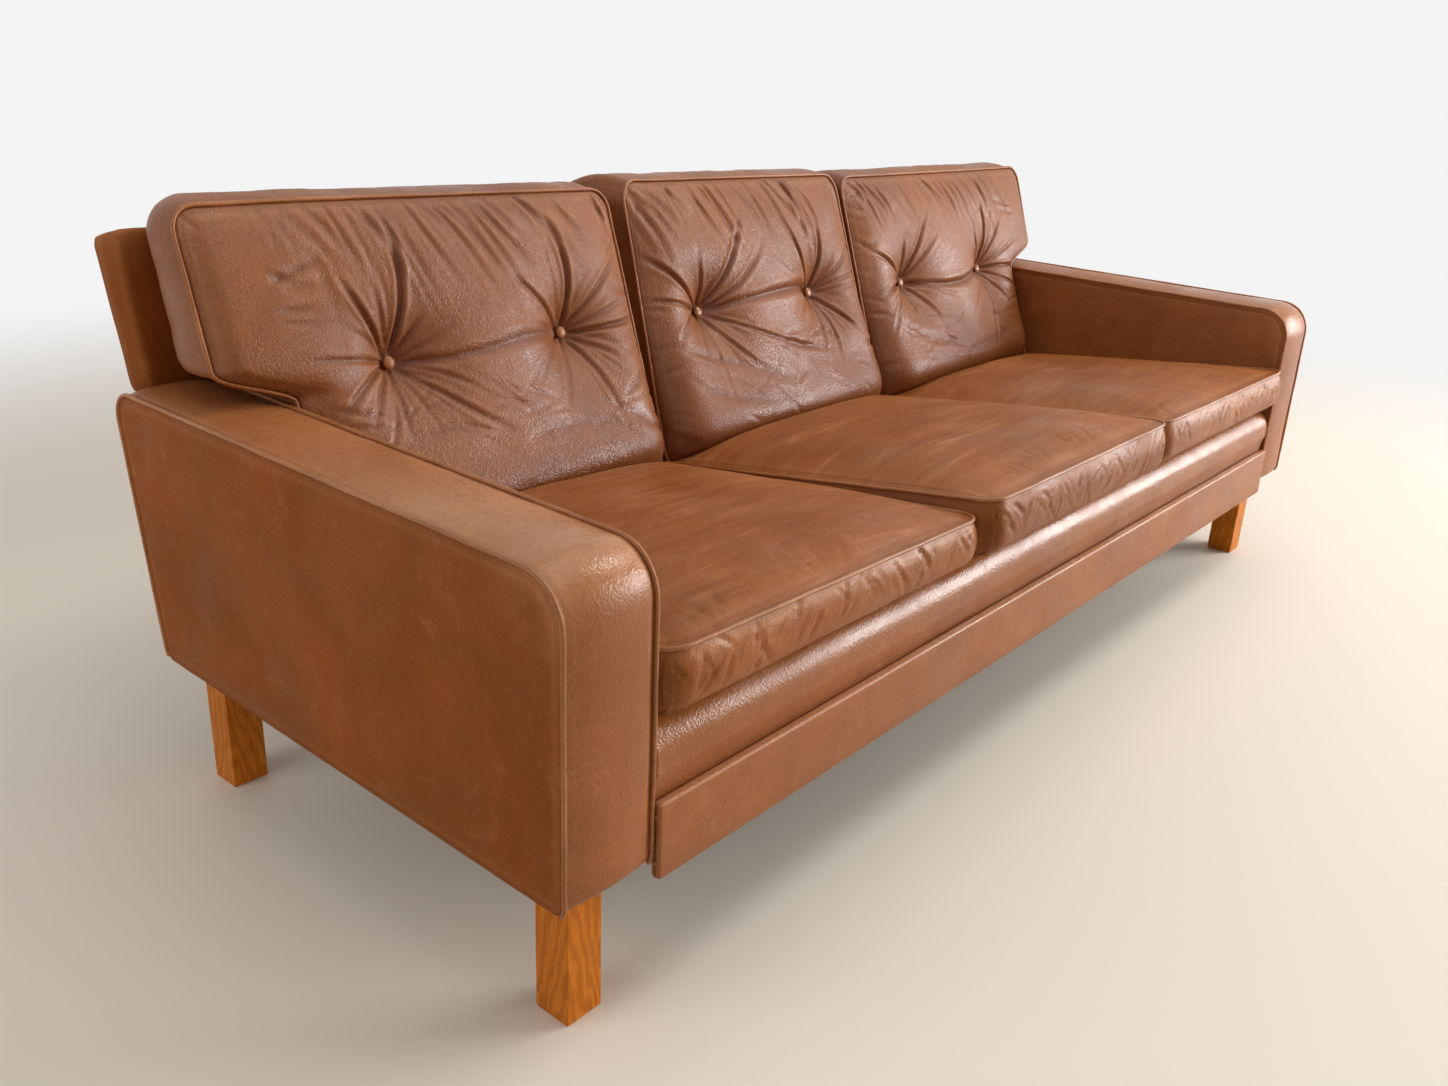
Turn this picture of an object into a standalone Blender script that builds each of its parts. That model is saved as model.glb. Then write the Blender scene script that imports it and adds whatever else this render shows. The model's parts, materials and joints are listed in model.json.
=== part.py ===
# A worn three-seat leather sofa: slab arms with welted edges, a leaning back board that runs over
# the arms, three welted seat cushions, three tufted back cushions whose outer two have ears over
# the arms, a padded front rail with an apron strip, and four square oak legs.
# Units are metres. While it is modelled, Y runs from the front face of the front legs to the back;
# one empty then moves the whole sofa, so that its origin is the middle of its footprint.

import math

import bmesh
import bpy
from mathutils import Vector

# Clearance between two faces that touch.
GAP = 0.0003

# Legs.
LEG_SIDE = 0.050
LEG_INSET = 0.0365
REAR_LEG_Y = 0.6705
LEG_EDGE = 0.0015
BOLT_RADIUS = 0.004
BOLT_IN_LEG = 0.060
BOLT_ABOVE_LEG = 0.058
BORE_PAST_BOLT = 0.010

# Arms: side outline in Y and Z, thickness in X.
ARM_OUTER_X = 1.0465
ARM_THICKNESS = 0.1235
ARM_FRONT_Y = -0.0330
ARM_BACK_TOP_Y = 0.7960
ARM_BACK_BOTTOM_Y = 0.7400
ARM_TOP_FRONT_Z = 0.5360
ARM_TOP_BACK_Z = 0.5450
ARM_BOTTOM_FRONT_Z = 0.1780
ARM_BOTTOM_BACK_Z = 0.1900
ARM_TOP_FRONT_RADIUS = 0.052
ARM_TOP_BACK_RADIUS = 0.040
ARM_BOTTOM_RADIUS = 0.014
ARM_CROWN = 0.008
ARM_PADDING = 0.021
ARM_FRAME_RAIL = 0.045

# Welts: the cords sewn along the seams.
WELT_RADIUS = 0.0030
WELT_GAP = 0.0005
WELT_REACH = 2 * WELT_RADIUS + WELT_GAP

# Seat cushions.
SEATS = 3
SEAT_FRONT_Y = -0.0440
SEAT_MIDDLE_FORWARD = 0.010
SEAT_FRONT_Z = 0.4280
SEAT_SLOPE = 0.107
SEAT_THICKNESS = 0.082
SEAT_CROWN = 0.024
SEAT_CORNER = 0.034
SEAT_LOWER_EDGE = 0.016
SEAT_FRONT_BULGE = 0.009
SEAT_END_LIFT = 0.012
SEAT_END_DROP = 0.004
# How much higher or lower each cushion's front stands than the common slope.
SEAT_STAND = (-0.012, 0.006, 0.0)

# Front rail and apron strip.
BASE_Z = 0.1900
RAIL_BOARD = 0.028
RAIL_FACE_Y = -0.0304
RAIL_BULGE = 0.0050
RAIL_BULGE_RISE = 0.030
RAIL_ROUND = 0.0395
RAIL_ROUND_STEPS = 6
APRON_THICKNESS = 0.0130
APRON_LOW_Z = 0.1615
APRON_TOP_Z = 0.2540
APRON_EDGE = 0.0030

# Seat frame.
BOARD_THICKNESS = 0.022
STRAP_WIDTH = 0.060
STRAP_THICKNESS = 0.0020
STRAPS_PER_SEAT = 3
STRETCHER_HEIGHT = 0.050
DUST_COVER = 0.0015

# Back board, leaning back; its T outline is wider above the arms.
BOARD_LEAN = math.radians(14.0)
BOARD_FOOT_Y = 0.6690
BOARD_INSET = 0.0265
BOARD_WIDE_HEIGHT = 0.2030
BOARD_BASE_THICKNESS = 0.044
BOARD_TOP_THICKNESS = 0.064
BOARD_CORNER = 0.022
BOARD_LOW_CORNER = 0.014
BOARD_EDGE = 0.008
SHOULDER_CLEAR = 0.0033
BACK_FRAME_THICKNESS = 0.022
BACK_FRAME_RAIL = 0.060

# Back cushions. The front seam plane leans a little more than the board does.
CUSHION_FRONT_FOOT_Y = 0.5300
CUSHION_FRONT_SLOPE = 0.335
CUSHION_TOP_FRONT_Z = 0.7720
CUSHION_TOP_BACK_Z = 0.7500
CUSHION_TOP_CROWN = 0.018
# How far each cushion has sunk; the first still stands a little proud.
CUSHION_SINK = (-0.006, 0.0, 0.013)
CUSHION_CORNER = 0.030
CUSHION_LOW_CORNER = 0.012
CUSHION_CROWN = 0.044
CUSHION_CROWN_LOW = 0.25
CUSHION_BELLY_POWER = 8
CUSHION_CORE = 0.75
WELT_LIFT_SHARE = 0.35
EAR_INSET = 0.0285
EAR_LOW = 0.005
EAR_BOTTOM_RISE = 0.048
EAR_REAR_INSET = 0.045
EAR_BULGE = 0.021
# Room behind the rear seams for their welts, which stand back off the boxing.
REAR_WELT_ROOM = 0.0018
BUTTON_RADIUS = 0.0095
BUTTON_HEIGHT = 0.0075
BUTTON_SPREAD = 0.1535
BUTTON_Z = 0.5700
BUTTON_SINK = 0.006
BUTTON_SIDES = 10
BUTTON_RINGS = 6
TUFT_FLAT = 0.016
TUFT_WIDTH = 0.060
TUFT_CREASE = 0.012
CREASE_WIDTH = 0.022
CREASE_REACH = 0.040
ROWS_BELOW_BUTTONS = 4
ROWS_ABOVE_BUTTONS = 3
ROW_SPACING = 0.06

ARM_INNER_X = ARM_OUTER_X - ARM_THICKNESS
SEAT_PITCH = 2 * ARM_INNER_X / SEATS
SEAM_SETBACK = WELT_REACH + WELT_GAP
WELT_OFFSET = WELT_RADIUS + WELT_GAP
# What passes the arms' inner welts is this much narrower than the arms' inner faces.
WELT_CLEAR = WELT_RADIUS + 2 * GAP
ARM_CREST_Z = ARM_TOP_BACK_Z + ARM_CROWN
LEAN_TAN = math.tan(BOARD_LEAN)
LEG_OUTER_X = ARM_OUTER_X - LEG_INSET
BOARD_HALF_WIDE = ARM_OUTER_X - BOARD_INSET
EAR_END_X = ARM_OUTER_X - EAR_INSET
LEATHER = (0.290, 0.096, 0.032)


def clear_scene():
    for obj in list(bpy.data.objects):
        bpy.data.objects.remove(obj)


def make_collection(name, hidden=False):
    collection = bpy.data.collections.new(name)
    bpy.context.scene.collection.children.link(collection)
    collection.hide_render = hidden
    return collection


def make_material(name, color, roughness, metallic=0.0):
    material = bpy.data.materials.new(name)
    material.use_nodes = True
    shader = material.node_tree.nodes["Principled BSDF"]
    shader.inputs["Base Color"].default_value = (*color, 1.0)
    shader.inputs["Roughness"].default_value = roughness
    shader.inputs["Metallic"].default_value = metallic
    return material


clear_scene()
PARTS = make_collection("worn_leather_sofa")
CUTTERS = make_collection("cutters", hidden=True)
ORIGIN = bpy.data.objects.new("sofa_origin", None)
PARTS.objects.link(ORIGIN)


# Heights that several pieces share.

def lerp(low, high, share):
    return low + (high - low) * share


def arm_share(y):
    return (y - ARM_FRONT_Y) / (ARM_BACK_TOP_Y - ARM_FRONT_Y)


def arm_bottom(y):
    return lerp(ARM_BOTTOM_FRONT_Z, ARM_BOTTOM_BACK_Z, arm_share(y))


def arm_top(y):
    return lerp(ARM_TOP_FRONT_Z, ARM_TOP_BACK_Z, arm_share(y))


def seat_top(y):
    return SEAT_FRONT_Z - (y - SEAT_FRONT_Y) * SEAT_SLOPE


def seat_bottom(y):
    return seat_top(y) - SEAT_THICKNESS


def strap_top(y):
    return seat_bottom(y) - GAP


def strap_bottom(y):
    return strap_top(y) - STRAP_THICKNESS


def board_top(y):
    return strap_bottom(y) - GAP


def back_board_face(z):
    return BOARD_FOOT_Y + (z - BASE_Z) * LEAN_TAN


def seat_back():
    # The seat cushions' rear seam, set back from the board for its welt.
    return back_board_face(seat_bottom(BOARD_FOOT_Y)) - SEAM_SETBACK


def cushion_rest(y):
    # Back cushions rest on the seat cushions' welts.
    return seat_top(y) + WELT_CLEAR


def cushion_seam_face(z):
    return CUSHION_FRONT_FOOT_Y + (z - seat_top(CUSHION_FRONT_FOOT_Y)) * CUSHION_FRONT_SLOPE


# Shared ways of making a piece.

def add_piece(name, data, material, parent=ORIGIN):
    obj = bpy.data.objects.new(name, data)
    PARTS.objects.link(obj)
    obj.parent = parent
    if not data.materials:
        data.materials.append(material)
    return obj


def add_cutter(name, mesh):
    obj = bpy.data.objects.new(name, mesh)
    CUTTERS.objects.link(obj)
    obj.parent = ORIGIN
    obj.hide_render = True
    obj.display_type = "WIRE"
    return obj


def cut(obj, cutter):
    modifier = obj.modifiers.new("cut_" + cutter.name, "BOOLEAN")
    modifier.operation = "DIFFERENCE"
    modifier.solver = "EXACT"
    modifier.use_self = True
    modifier.object = cutter


def mesh_from(bm, name):
    bmesh.ops.recalc_face_normals(bm, faces=bm.faces)
    mesh = bpy.data.meshes.new(name)
    bm.to_mesh(mesh)
    bm.free()
    return mesh


def add_bevel(obj, width, segments=2):
    bevel = obj.modifiers.new("soft_edges", "BEVEL")
    bevel.width = width
    bevel.segments = segments
    bevel.limit_method = "ANGLE"
    bevel.angle_limit = math.radians(40)
    return bevel


def slanted_box(name, x_range, y_range, low, high):
    # A box whose lower and upper faces follow the given heights along Y.
    bm = bmesh.new()
    bmesh.ops.create_cube(bm, size=1.0)
    for vert in bm.verts:
        x = lerp(*x_range, vert.co.x + 0.5)
        y = lerp(*y_range, vert.co.y + 0.5)
        z = high(y) if vert.co.z > 0 else low(y)
        vert.co = Vector((x, y, z))
    return mesh_from(bm, name)


def level(z):
    return lambda y: z


def cylinder_mesh(name, radius, x, y, z_low, z_high, sides=12):
    bm = bmesh.new()
    bmesh.ops.create_cone(bm, cap_ends=True, segments=sides, radius1=radius, radius2=radius,
                          depth=z_high - z_low)
    bmesh.ops.translate(bm, verts=bm.verts, vec=(x, y, (z_low + z_high) / 2))
    return mesh_from(bm, name)


def outline_mesh(name, outlines, half_depth, lean=None):
    # A flat outline, with any windows in it, given its depth. Without a lean the outline's two
    # axes are Y and Z; with one they are X and the leaning board's height.
    curve = bpy.data.curves.new(name, "CURVE")
    curve.dimensions = "2D"
    curve.fill_mode = "BOTH"
    curve.extrude = half_depth
    for points in outlines:
        spline = curve.splines.new("POLY")
        spline.points.add(len(points) - 1)
        for point, (a, b) in zip(spline.points, points):
            point.co = (a, b, 0.0, 1.0)
        spline.use_cyclic_u = True
    obj = bpy.data.objects.new(name, curve)
    PARTS.objects.link(obj)
    graph = bpy.context.evaluated_depsgraph_get()
    mesh = bpy.data.meshes.new_from_object(obj.evaluated_get(graph))
    bpy.data.objects.remove(obj)
    bm = bmesh.new()
    bm.from_mesh(mesh)
    bpy.data.meshes.remove(mesh)
    bmesh.ops.remove_doubles(bm, verts=bm.verts, dist=0.00002)
    for vert in bm.verts:
        a, b, depth = vert.co
        if lean is None:
            vert.co = Vector((depth, a, b))
        else:
            vert.co = Vector((a, b * math.sin(lean) - depth * math.cos(lean),
                              b * math.cos(lean) + depth * math.sin(lean)))
    return mesh_from(bm, name)


def cord(name, points, material, closed):
    curve = bpy.data.curves.new(name, "CURVE")
    curve.dimensions = "3D"
    curve.bevel_depth = WELT_RADIUS
    curve.bevel_resolution = 1
    curve.use_fill_caps = not closed
    spline = curve.splines.new("POLY")
    spline.points.add(len(points) - 1)
    for point, place in zip(spline.points, points):
        point.co = (*place, 1.0)
    spline.use_cyclic_u = closed
    return add_piece(name, curve, material)


def soft_block(name, cuts, shape, keep_grid):
    # A cube from -1 to 1, loop cut along each axis, whose points then take their places by shape().
    # Flat faces for which keep_grid() is false are merged back into one.
    bm = bmesh.new()
    bmesh.ops.create_cube(bm, size=2.0)
    for axis, positions in enumerate(cuts):
        normal = Vector((0, 0, 0))
        normal[axis] = 1.0
        for position in positions:
            bmesh.ops.bisect_plane(bm, geom=bm.verts[:] + bm.edges[:] + bm.faces[:], dist=1e-6,
                                   plane_co=normal * position, plane_no=normal)
    flat = [face for face in bm.faces if not keep_grid(face.calc_center_median(), face.normal)]
    inner = [edge for edge in bm.edges if sum(face in flat for face in edge.link_faces) == 2]
    places = [shape(*vert.co) for vert in bm.verts]
    for vert, place in zip(bm.verts, places):
        vert.co = place
    bmesh.ops.dissolve_edges(bm, edges=inner, use_verts=True)
    bmesh.ops.triangulate(bm, faces=bm.faces)
    return mesh_from(bm, name)


def round_corner(a, b, half_a, half_b, radius):
    # Moves a point of a rectangle so that the rectangle's corner becomes an arc.
    core_a = max(-(half_a - radius), min(half_a - radius, a))
    core_b = max(-(half_b - radius), min(half_b - radius, b))
    out = Vector((a - core_a, b - core_b))
    reach = max(abs(out.x), abs(out.y))
    if reach < 1e-9 or out.x == 0 or out.y == 0:
        return a, b
    out = out.normalized() * reach
    return core_a + out.x, core_b + out.y


def spread(low, high, count):
    return [lerp(low, high, (i + 1) / (count + 1)) for i in range(count)]


# Legs and what holds them.

def build_legs(oak, steel):
    bores = {}
    for side, sign in (("left", -1), ("right", 1)):
        for end, y in (("front", 0.0), ("rear", REAR_LEG_Y)):
            xs = sorted((sign * LEG_OUTER_X, sign * (LEG_OUTER_X - LEG_SIDE)))
            name = f"leg_{end}_{side}"
            mesh = slanted_box(name, xs, (y, y + LEG_SIDE), level(0.0), lambda v: arm_bottom(v) - GAP)
            leg = add_piece(name, mesh, oak)
            add_bevel(leg, LEG_EDGE)
            x = sum(xs) / 2
            middle = y + LEG_SIDE / 2
            top = arm_bottom(middle)
            bore = cylinder_mesh("bore_" + name, BOLT_RADIUS + GAP, x, middle,
                                 top - BOLT_IN_LEG - GAP, top + BOLT_ABOVE_LEG + BORE_PAST_BOLT)
            bore = add_cutter("bore_" + name, bore)
            cut(leg, bore)
            bolt = cylinder_mesh(f"leg_bolt_{end}_{side}", BOLT_RADIUS, x, middle,
                                 top - BOLT_IN_LEG, top + BOLT_ABOVE_LEG)
            add_piece(f"leg_bolt_{end}_{side}", bolt, steel)
            bores[end, side] = bore
    return bores


# Arms.

ARM_HALF_DEPTH = (ARM_BACK_TOP_Y - ARM_FRONT_Y) / 2
ARM_HALF_HEIGHT = (ARM_TOP_BACK_Z - ARM_BOTTOM_BACK_Z) / 2


def arm_radius(u, v):
    if v < 0:
        return ARM_BOTTOM_RADIUS
    return ARM_TOP_FRONT_RADIUS if u < 0 else ARM_TOP_BACK_RADIUS


def arm_outline(u, v):
    # Y and Z of a point of the arm's side, for u from front to back and v from bottom to top.
    a, b = round_corner(u * ARM_HALF_DEPTH, v * ARM_HALF_HEIGHT, ARM_HALF_DEPTH,
                        ARM_HALF_HEIGHT, arm_radius(u, v))
    across = (a / ARM_HALF_DEPTH + 1) / 2
    up = (b / ARM_HALF_HEIGHT + 1) / 2
    y = lerp(ARM_FRONT_Y, lerp(ARM_BACK_BOTTOM_Y, ARM_BACK_TOP_Y, up), across)
    return y, lerp(arm_bottom(y), arm_top(y), up)


def corner_steps(half, radius, steps):
    # Loop cuts through a rounded corner, as shares of the half length.
    return [(half - radius + radius * math.tan(math.radians(45 * i / steps))) / half
            for i in range(steps)]


def arm_cuts():
    front = corner_steps(ARM_HALF_DEPTH, ARM_TOP_FRONT_RADIUS, 3)
    back = corner_steps(ARM_HALF_DEPTH, ARM_TOP_BACK_RADIUS, 3)
    top = corner_steps(ARM_HALF_HEIGHT, ARM_TOP_FRONT_RADIUS, 3)
    top_back = corner_steps(ARM_HALF_HEIGHT, ARM_TOP_BACK_RADIUS, 3)
    bottom = corner_steps(ARM_HALF_HEIGHT, ARM_BOTTOM_RADIUS, 1)
    along = [-value for value in front] + back + [0.0]
    along += [-corner_steps(ARM_HALF_DEPTH, ARM_BOTTOM_RADIUS, 1)[0]]
    along += corner_steps(ARM_HALF_DEPTH, ARM_BOTTOM_RADIUS, 1)
    return sorted(set(along)), sorted(set(top + top_back + [-value for value in bottom]))


def arm_edge_points():
    # The seam from the bottom of the front edge, over the top, to the bottom of the back edge.
    along, up = arm_cuts()
    front = [(-1.0, v) for v in up]
    top = [(-1.0, 1.0)] + [(u, 1.0) for u in along] + [(1.0, 1.0)]
    back = [(1.0, v) for v in reversed(up)]
    return front + top + back


def outward(points):
    # Unit normals of an open run of points in one plane, pointing away from the run's left side.
    normals = []
    for index in range(len(points)):
        before = points[max(index - 1, 0)]
        after = points[min(index + 1, len(points) - 1)]
        run = (Vector(after) - Vector(before)).normalized()
        normals.append(Vector((-run.y, run.x)))
    return normals


def build_arm(side, sign, leather, welt, wood, bores):
    middle_x = sign * (ARM_OUTER_X - ARM_THICKNESS / 2)
    along, up = arm_cuts()

    def shape(w, u, v):
        y, z = arm_outline(u, v)
        crown = ARM_CROWN * (1 - w * w)
        rim_u = abs(u) == 1
        if v == 1 or (rim_u and v > up[0]):
            step = 0.01
            near = arm_outline(max(-1, min(1, u - step)), v)
            far = arm_outline(max(-1, min(1, u + step)), v)
            run = Vector((far[0] - near[0], far[1] - near[1]))
            if rim_u and v < 1:
                low = arm_outline(u, v - step)
                high = arm_outline(u, min(1, v + step))
                run = Vector((high[0] - low[0], high[1] - low[1])) * -u
            normal = Vector((-run.y, run.x)).normalized()
            y += normal.x * crown
            z += normal.y * crown
        return Vector((middle_x + w * ARM_THICKNESS / 2, y, z))

    mesh = soft_block(f"arm_{side}", ([-0.5, 0.0, 0.5], along, up), shape,
                      lambda middle, normal: abs(normal.x) < 0.5)
    arm = add_piece(f"arm_{side}", mesh, leather)

    # The wooden frame inside, and the hollow of the cover that it fills.
    low_y = ARM_FRONT_Y + ARM_PADDING
    high_y = ARM_BACK_BOTTOM_Y - ARM_PADDING
    high_z = ARM_TOP_FRONT_Z - ARM_PADDING
    half = ARM_THICKNESS / 2 - ARM_PADDING
    hollow = slanted_box("hollow_arm_" + side, (middle_x - half, middle_x + half), (low_y, high_y),
                         lambda y: arm_bottom(y) - ARM_PADDING, level(high_z))
    cut(arm, add_cutter("hollow_arm_" + side, hollow))

    rail = ARM_FRAME_RAIL
    y0, y1 = low_y + GAP, high_y - GAP
    top = high_z - GAP
    outer = [(y0, arm_bottom(y0)), (y1, arm_bottom(y1)), (y1, top), (y0, top)]
    window = [(y0 + rail, arm_bottom(y0 + rail) + rail), (y0 + rail, top - rail),
              (y1 - rail, top - rail), (y1 - rail, arm_bottom(y1 - rail) + rail)]
    mesh = outline_mesh(f"arm_frame_{side}", [outer, window], half - GAP)
    for vert in mesh.vertices:
        vert.co.x += middle_x
    frame = add_piece(f"arm_frame_{side}", mesh, wood)
    for bore in bores:
        cut(frame, bore)

    # The two welts lie outside the seams.
    seam = [arm_outline(u, v) for u, v in arm_edge_points()]
    normals = outward(seam)
    for face, end in (("outer", 1), ("inner", -1)):
        x = middle_x + sign * end * ARM_THICKNESS / 2
        places = [(x, y + n.x * WELT_OFFSET, z + n.y * WELT_OFFSET)
                  for (y, z), n in zip(seam, normals)]
        cord(f"arm_welt_{face}_{side}", places, welt, closed=False)


# Seat cushions.

def seat_fade_row(front):
    # The row, as a share, at which the back cushions' front seams stand on the seat.
    half_y = (seat_back() - front) / 2
    return (CUSHION_FRONT_FOOT_Y - front) / half_y - 1


def seat_cuts(front):
    half_x = SEAT_PITCH / 2 - SEAM_SETBACK
    half_y = (seat_back() - front) / 2
    corner_x = corner_steps(half_x, SEAT_CORNER, 2)
    corner_y = corner_steps(half_y, SEAT_CORNER, 2)
    xs = [-value for value in corner_x] + spread(-corner_x[0], corner_x[0], 5) + corner_x
    row = seat_fade_row(front)
    ys = [-value for value in corner_y] + spread(-corner_y[0], row, 5) + [row] + corner_y
    return sorted(xs), sorted(ys)


def seat_tilt(x):
    # The near end of the first cushion stands a little high, and the far end of the last is sat down.
    third = ARM_INNER_X / SEATS
    if x < -third:
        return SEAT_END_LIFT * (-x - third) / (ARM_INNER_X - third)
    if x > third:
        return -SEAT_END_DROP * (x - third) / (ARM_INNER_X - third)
    return 0.0


def build_seat(index, leather, welt):
    middle_x = (index - (SEATS - 1) / 2) * SEAT_PITCH
    front = SEAT_FRONT_Y - (SEAT_MIDDLE_FORWARD if index == 1 else 0.0)
    half_x = SEAT_PITCH / 2 - SEAM_SETBACK
    half_y = (seat_back() - front) / 2
    middle_y = (seat_back() + front) / 2
    bulge = SEAM_SETBACK - GAP

    def outline(u, v):
        return round_corner(u * half_x, v * half_y, half_x, half_y, SEAT_CORNER)

    def seam(u, v):
        x, y = outline(u, v)
        x += middle_x
        y += middle_y
        fade = max(0.0, min(1.0, (CUSHION_FRONT_FOOT_Y - y) / CUSHION_FRONT_FOOT_Y))
        return Vector((x, y, seat_top(y) + (seat_tilt(x) + SEAT_STAND[index]) * fade))

    def shape(u, v, w):
        place = seam(u, v)
        rim = abs(u) == 1 or abs(v) == 1
        if w == 1:
            before = max(0.0, 1 - ((place.y - front) / (CUSHION_FRONT_FOOT_Y - front)))
            crown = (1 - u ** 4) * (1 - (1 - before) ** 4) * (1 - abs(v) ** 6)
            place.z += SEAT_CROWN * crown
            return place
        low = seat_bottom(place.y) + (SEAT_LOWER_EDGE if rim else 0.0)
        share = (w + 1) / 2
        side = 1 - w * w
        x_out = bulge * side * u
        y_out = (SEAT_FRONT_BULGE if v < 0 else bulge) * side * v
        return Vector((place.x + x_out, place.y + y_out, lerp(low, place.z, share)))

    xs, ys = seat_cuts(front)
    mesh = soft_block(f"seat_cushion_{index + 1}", (xs, ys, [-0.4, 0.4]), shape,
                      lambda middle, normal: normal.z > -0.5
                      or abs(middle.x) > max(xs) or abs(middle.y) > max(ys))
    add_piece(f"seat_cushion_{index + 1}", mesh, leather)

    corner_x = corner_steps(half_x, SEAT_CORNER, 2)
    corner_y = corner_steps(half_y, SEAT_CORNER, 2)
    row = [seat_fade_row(front)]
    rim = rim_points(corner_x, corner_y, corner_y, row, row)
    ring(f"seat_welt_{index + 1}", [seam(u, v) for u, v in rim], welt, Vector((0, 0, 1)))


def rim_points(corner_x, corner_high, corner_low, left=(), right=()):
    # Shares of the outline where its run bends, from the lower left corner round by the right.
    wide = [-value for value in reversed(corner_x)] + list(corner_x)
    low = [-value for value in reversed(corner_low)]
    rim = [(u, -1.0) for u in [-1.0] + wide + [1.0]]
    rim += [(1.0, v) for v in low + list(right) + list(corner_high)]
    rim += [(u, 1.0) for u in reversed([-1.0] + wide + [1.0])]
    return rim + [(-1.0, v) for v in reversed(low + list(left) + list(corner_high))]


def ring(name, points, material, facing, lift=0.0):
    # A closed cord just outside a seam, square to the seam's run and to the way its face looks.
    # A lift moves it that way too, off the boxing behind it.
    places = []
    for index, point in enumerate(points):
        before = (point - points[index - 1]).cross(facing).normalized()
        after = (points[(index + 1) % len(points)] - point).cross(facing).normalized()
        out = (before + after).normalized()
        out = (out / max(0.8, out.dot(after)) + facing * lift) / math.hypot(1, lift)
        places.append(point + out * WELT_OFFSET)
    return cord(name, places, material, closed=True)


# Seat frame and front rail.

def build_seat_frame(wood, webbing, cloth, leather):
    inner = ARM_INNER_X - GAP
    face_half = ARM_INNER_X - WELT_CLEAR
    front = slanted_box("front_rail_board", (-inner, inner), (0.0, RAIL_BOARD), level(BASE_Z),
                        level(board_top(RAIL_BOARD)))
    add_piece("front_rail_board", front, wood)

    rear_back = BOARD_FOOT_Y - GAP
    rear_front = rear_back - BOARD_THICKNESS
    rear = slanted_box("rear_rail", (-inner, inner), (rear_front, rear_back), level(BASE_Z), board_top)
    add_piece("rear_rail", rear, wood)

    run = (RAIL_BOARD + GAP, rear_front - GAP)
    for side, sign in (("left", -1), ("right", 1)):
        xs = sorted((sign * inner, sign * (inner - BOARD_THICKNESS)))
        rail = slanted_box(f"side_rail_{side}", xs, run, level(BASE_Z), board_top)
        add_piece(f"side_rail_{side}", rail, wood)
        middle = sign * SEAT_PITCH / 2
        xs = (middle - BOARD_THICKNESS / 2, middle + BOARD_THICKNESS / 2)
        bar = slanted_box(f"stretcher_{side}", xs, run, level(BASE_Z), level(BASE_Z + STRETCHER_HEIGHT))
        add_piece(f"stretcher_{side}", bar, wood)

    lip_end = RAIL_BOARD / 2
    strap_run = (lip_end + GAP, rear_back)
    step = SEAT_PITCH / STRAPS_PER_SEAT
    for index in range(SEATS * STRAPS_PER_SEAT):
        middle = (index - (SEATS * STRAPS_PER_SEAT - 1) / 2) * step
        xs = (middle - STRAP_WIDTH / 2, middle + STRAP_WIDTH / 2)
        name = f"seat_strap_{index + 1}"
        add_piece(name, slanted_box(name, xs, strap_run, strap_bottom, strap_top), webbing)

    under = slanted_box("dust_cover", (-inner, inner), (0.0, rear_back),
                        level(BASE_Z - GAP - DUST_COVER), level(BASE_Z - GAP))
    add_piece("dust_cover", under, cloth)

    build_front_rail(face_half, lip_end, leather)


def build_front_rail(half_length, lip_end, leather):
    # The padded face of the front rail, rounded over the board's top edge.
    crest = seat_bottom(lip_end) - GAP
    lip_low = board_top(RAIL_BOARD) + GAP
    belly = RAIL_FACE_Y - RAIL_BULGE
    profile = [(RAIL_FACE_Y, BASE_Z), (RAIL_FACE_Y, APRON_TOP_Z), (belly, APRON_TOP_Z + RAIL_BULGE_RISE)]
    for step in range(RAIL_ROUND_STEPS + 1):
        angle = math.radians(180 - 90 * step / RAIL_ROUND_STEPS)
        y = belly + RAIL_ROUND * (1 + math.cos(angle))
        profile.append((y, crest - RAIL_ROUND * (1 - math.sin(angle))))
    profile += [(lip_end, crest), (lip_end, lip_low), (-GAP, lip_low), (-GAP, BASE_Z)]
    add_piece("front_rail_pad", outline_mesh("front_rail_pad", [profile], half_length), leather)

    y1 = RAIL_FACE_Y - GAP
    strip = slanted_box("apron_strip", (-half_length, half_length), (y1 - APRON_THICKNESS, y1),
                        level(APRON_LOW_Z), level(APRON_TOP_Z))
    strip = add_piece("apron_strip", strip, leather)
    add_bevel(strip, APRON_EDGE)


# Back board.

def rounded(points, radius_of, steps=4):
    # The outline with its corners rounded, each by the radius given for it.
    result = []
    for index, corner in enumerate(points):
        radius = radius_of(index)
        here = Vector(corner)
        to_before = (Vector(points[index - 1]) - here).normalized()
        to_after = (Vector(points[(index + 1) % len(points)]) - here).normalized()
        if radius == 0:
            result.append(tuple(here))
            continue
        start = here + to_before * radius
        end = here + to_after * radius
        center = start + to_after * radius
        for step in range(steps + 1):
            share = math.radians(90 * step / steps)
            spoke = (start - center) * math.cos(share) + (end - center) * math.sin(share)
            result.append(tuple(center + spoke))
    return result


def t_outline(half_low, half_wide, low, shoulder, top):
    return [(-half_low, low), (half_low, low), (half_low, shoulder), (half_wide, shoulder),
            (half_wide, top), (-half_wide, top), (-half_wide, shoulder), (-half_low, shoulder)]


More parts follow.
